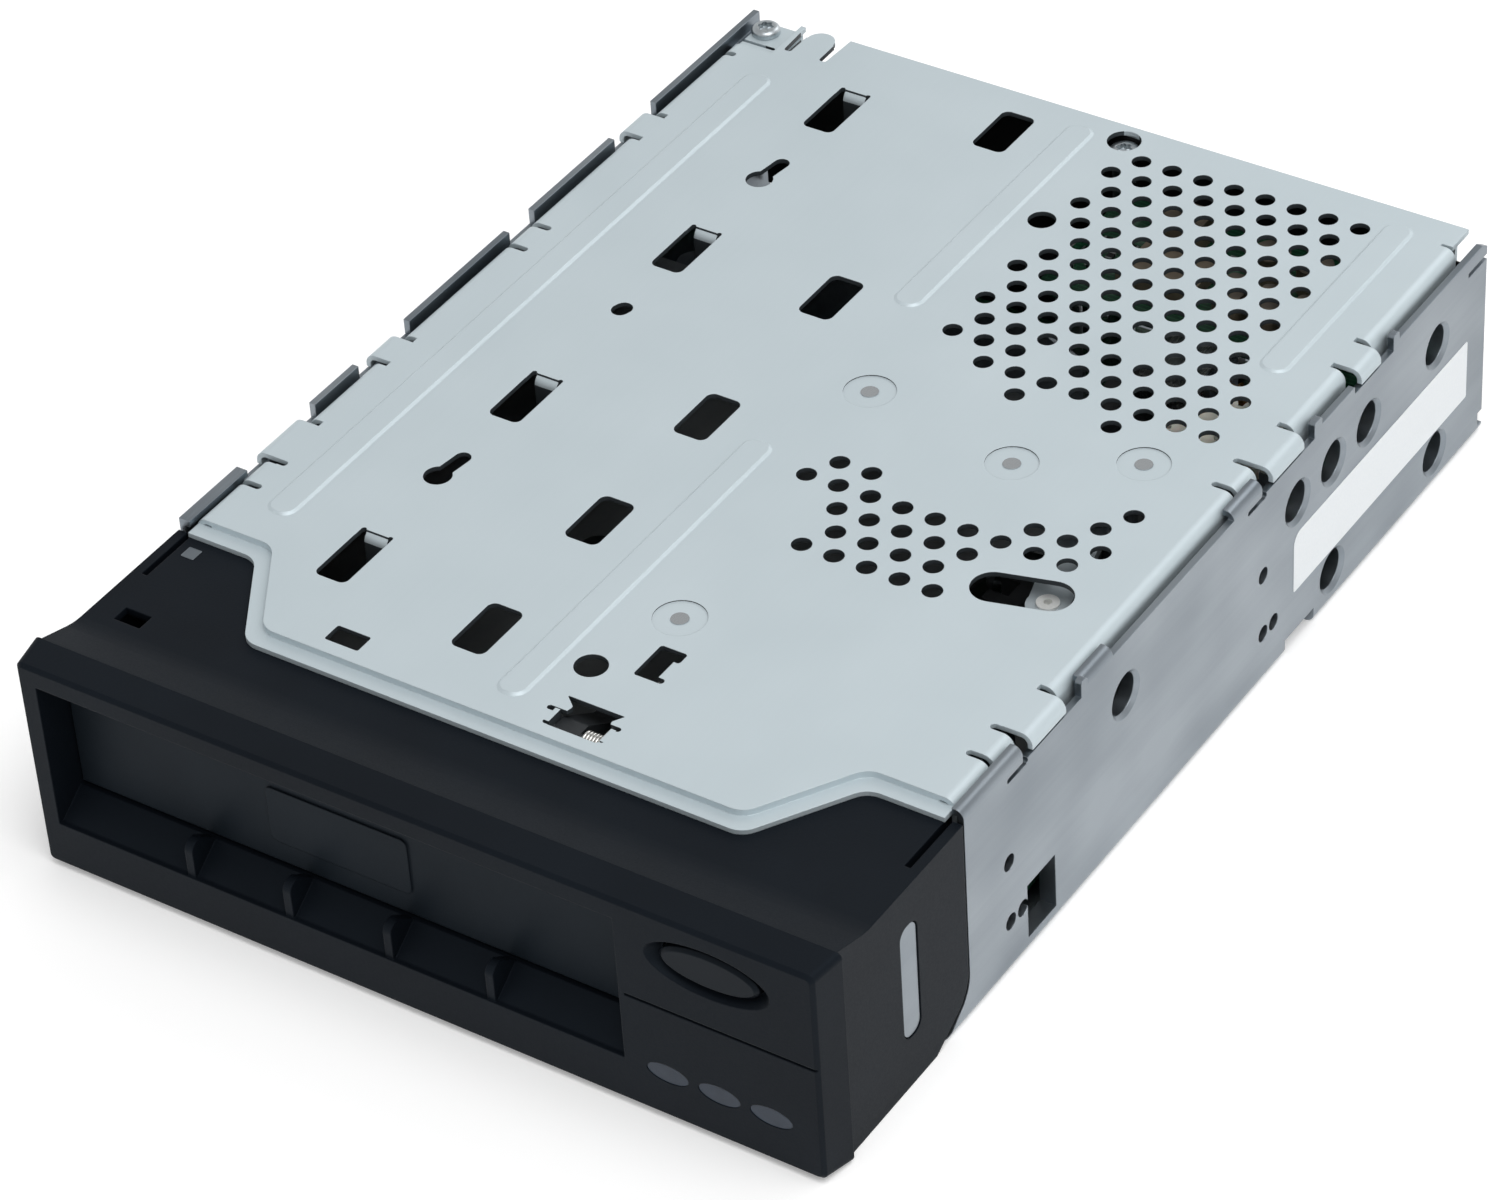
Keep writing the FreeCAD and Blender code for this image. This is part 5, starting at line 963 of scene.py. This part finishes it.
def leadBlank():
    # gull wing: out of the body's side, down, and a foot on the board
    root, out, shoulder = leadShape["root"], leadShape["out"], leadShape["shoulder"]
    rise, sheet = leadShape["rise"], leadShape["sheet"]
    profile = [(root, rise), (root, rise + sheet), (-shoulder, rise + sheet),
               (-shoulder - leadShape["fall"], sheet), (-out, sheet), (-out, 0.0),
               (-shoulder - leadShape["heel"], 0.0), (-shoulder - root, rise)]
    half = leadShape["width"] / 2
    return addPiece("leadBlank", prismMesh("leadBlank", profile, -half, half,
                                           lambda u, v, w: Vector((w * mm, u * mm, v * mm))))


def leadRows():
    # one edge for each row of leads, anticlockwise round the chip, so that the feet point outwards
    points = []
    inset = leadShape["inset"]
    for x, d, halfWide, deep, sides in chips:
        loop = [((-1, -1), (1, -1), (inset, 0)), ((1, 1), (-1, 1), (-inset, 0)),
                ((1, -1), (1, 1), (0, inset)), ((-1, 1), (-1, -1), (0, -inset))]
        if sides == 2 and deep > halfWide:
            loop = loop[2:]
        elif sides == 2:
            loop = loop[:2]
        for first, last, shift in loop:
            for (u, v), way in ((first, 1), (last, -1)):
                points.append(pointAt(x + u * halfWide + way * shift[0],
                                      d + v * deep / 2 + way * shift[1], boardTop))
    return startMesh("leadRows", points, [(k, k + 1) for k in range(0, len(points), 2)])


blank = leadBlank()
showPiece(bakeTree("chipLeads", rowTree, leadRows(), {"Blank": blank, "Pitch": leadShape["pitch"] * mm,
                                                      "Finish": tinnedLead}), "chassis")
bpy.data.objects.remove(blank)

resistor = {"long": 2.0, "wide": 1.25, "high": 0.5, "cap": 0.4, "gap": 3.6, "seed": 12}
freeFields = [(-30.0, 20.0, 106.0, 126.0, boardTop), (-24.0, -8.0, 148.0, 176.0, boardTop),
              (48.0, 64.0, 96.0, 130.0, boardTop), (10.0, 18.0, 176.0, 190.0, servoTop),
              (38.0, 66.0, 185.5, 188.0, servoTop), (31.0, 37.0, 192.0, 199.0, servoTop)]


def resistorBlank(name, spans):
    # boxes that lie end to end along X, standing on the board
    points, faces = [], []
    half = resistor["wide"] / 2
    for x0, x1 in spans:
        base = len(points)
        points += [(x * mm, y * mm, z * mm) for z in (0.0, resistor["high"]) for x, y in
                   ((x0, -half), (x1, -half), (x1, half), (x0, half))]
        faces += [tuple(base + k for k in quad) for quad in
                  ((3, 2, 1, 0), (4, 5, 6, 7), (0, 1, 5, 4), (1, 2, 6, 5), (2, 3, 7, 6), (3, 0, 4, 7))]
    return addPiece(name, startMesh(name, points, [], faces))


def fieldMesh(name):
    points = [pointAt(x, d, z) for x0, x1, d0, d1, z in freeFields
              for x, d in ((x0, d0), (x1, d0), (x1, d1), (x0, d1))]
    return startMesh(name, points, [], [tuple(range(k, k + 4)) for k in range(0, len(points), 4)])


ends = resistor["long"] / 2
middle = ends - resistor["cap"]
for name, spans, finish in (("resistorBodies", [(-middle, middle)], finishes["chip_epoxy"]),
                            ("resistorEnds", [(-ends, -middle), (middle, ends)], tinnedLead)):
    blank = resistorBlank(name + "Blank", spans)
    sizes = {"Blank": blank, "Gap": resistor["gap"] * mm, "Seed": resistor["seed"], "Finish": finish}
    showPiece(bakeTree(name, scatterTree, fieldMesh(name + "Fields"), sizes), "chassis")
    bpy.data.objects.remove(blank)
print("leads and chip resistors set")


# Studio: pale floor, soft light from the world and three large lamps
studio = {"floorSize": 6.0, "floorLift": 0.22, "world": 0.55, "ceiling": 0.55, "horizon": 0.1,
          "overhead": 0.6}
lamps = {"keyLamp": (8.6, 0.9, (0.4, -0.2, 1.2)), "fillLamp": (1.8, 0.9, (0.95, -0.55, 0.75)),
         "rimLamp": (3.2, 0.7, (0.2, 1.1, 0.8))}
lampAim = (0, 0, 0.02)


def areaLamp(name, power, size, place):
    lamp = bpy.data.lights.new(name, "AREA")
    lamp.energy = power
    lamp.shape = "SQUARE"
    lamp.size = size
    holder = addPiece(name, lamp)
    holder.location = place
    holder.rotation_euler = (Vector(lampAim) - Vector(place)).to_track_quat("-Z", "Y").to_euler()


def seenDirectly(tree, path):
    # 1 for the camera's rays and for those that a reflection or a lens sends on
    seen = maths(tree, "MAXIMUM", path["Is Camera Ray"], path["Is Glossy Ray"])
    return maths(tree, "MAXIMUM", seen, path["Is Transmission Ray"])


def makeFloor():
    half = studio["floorSize"] / 2
    corners = [(-half, -half, 0), (half, -half, 0), (half, half, 0), (-half, half, 0)]
    mesh = startMesh("paleFloor", corners, [], [(0, 1, 2, 3)])
    floor = addPiece("paleFloor", mesh)
    # painted board: matt white, lifted to paper white where the camera or a reflection sees it
    paint, tree, shader = newFinish("mattWhiteBoard", "EFEFEF", Roughness=0.9, Specular_IOR_Level=0.1,
                                    Emission_Color=(1, 1, 1, 1))
    seen = seenDirectly(tree, addNode(tree, "ShaderNodeLightPath").outputs)
    lift = maths(tree, "MULTIPLY", seen, studio["floorLift"])
    tree.links.new(lift, shader.inputs["Emission Strength"])
    mesh.materials.append(paint)
    floor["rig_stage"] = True


def makeWorld():
    world = bpy.data.worlds.new("softStudio")
    bpy.context.scene.world = world
    world.use_nodes = True
    tree = world.node_tree
    glow = tree.nodes["Background"]
    path = addNode(tree, "ShaderNodeLightPath").outputs
    # a darker ceiling for reflections only: full white near the horizon and for the camera
    up = splitAxes(tree, addNode(tree, "ShaderNodeTexCoord").outputs["Generated"])
    ceiling = remap(tree, up["Z"], studio["horizon"], studio["overhead"], 1.0, studio["ceiling"])
    white = maths(tree, "MAXIMUM", ceiling, path["Is Camera Ray"])
    level = remap(tree, seenDirectly(tree, path), 0.0, 1.0, studio["world"], white)
    tree.links.new(level, glow.inputs["Strength"])
    glow.inputs["Color"].default_value = (1, 1, 1, 1)


makeFloor()
makeWorld()
for name, (power, size, place) in lamps.items():
    areaLamp(name, power, size, place)

# Camera solved from the photograph's straight edges and the lattice of round vents
view = {"lens": 130.48, "sensor": 36.0, "near": 0.05, "far": 20.0, "place": (0.40084, -0.57399, 0.56854),
        "turn": (51.2731, 3.1369, 32.9102)}
lens = bpy.data.cameras.new("photoView")
lens.lens = view["lens"]
lens.sensor_width = view["sensor"]
lens.clip_start = view["near"]
lens.clip_end = view["far"]
camera = addPiece("photoView", lens)
camera.location = view["place"]
camera.rotation_euler = Euler([math.radians(a) for a in view["turn"]], "XYZ")
bpy.context.scene.camera = camera
bpy.context.scene.view_settings.view_transform = "Standard"
print("studio and camera set")

low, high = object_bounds()
sizes = {"cad": [list(cadLow), list(cadHigh)], "visual": [list(low), list(high)]}
print("sizes", sizes)
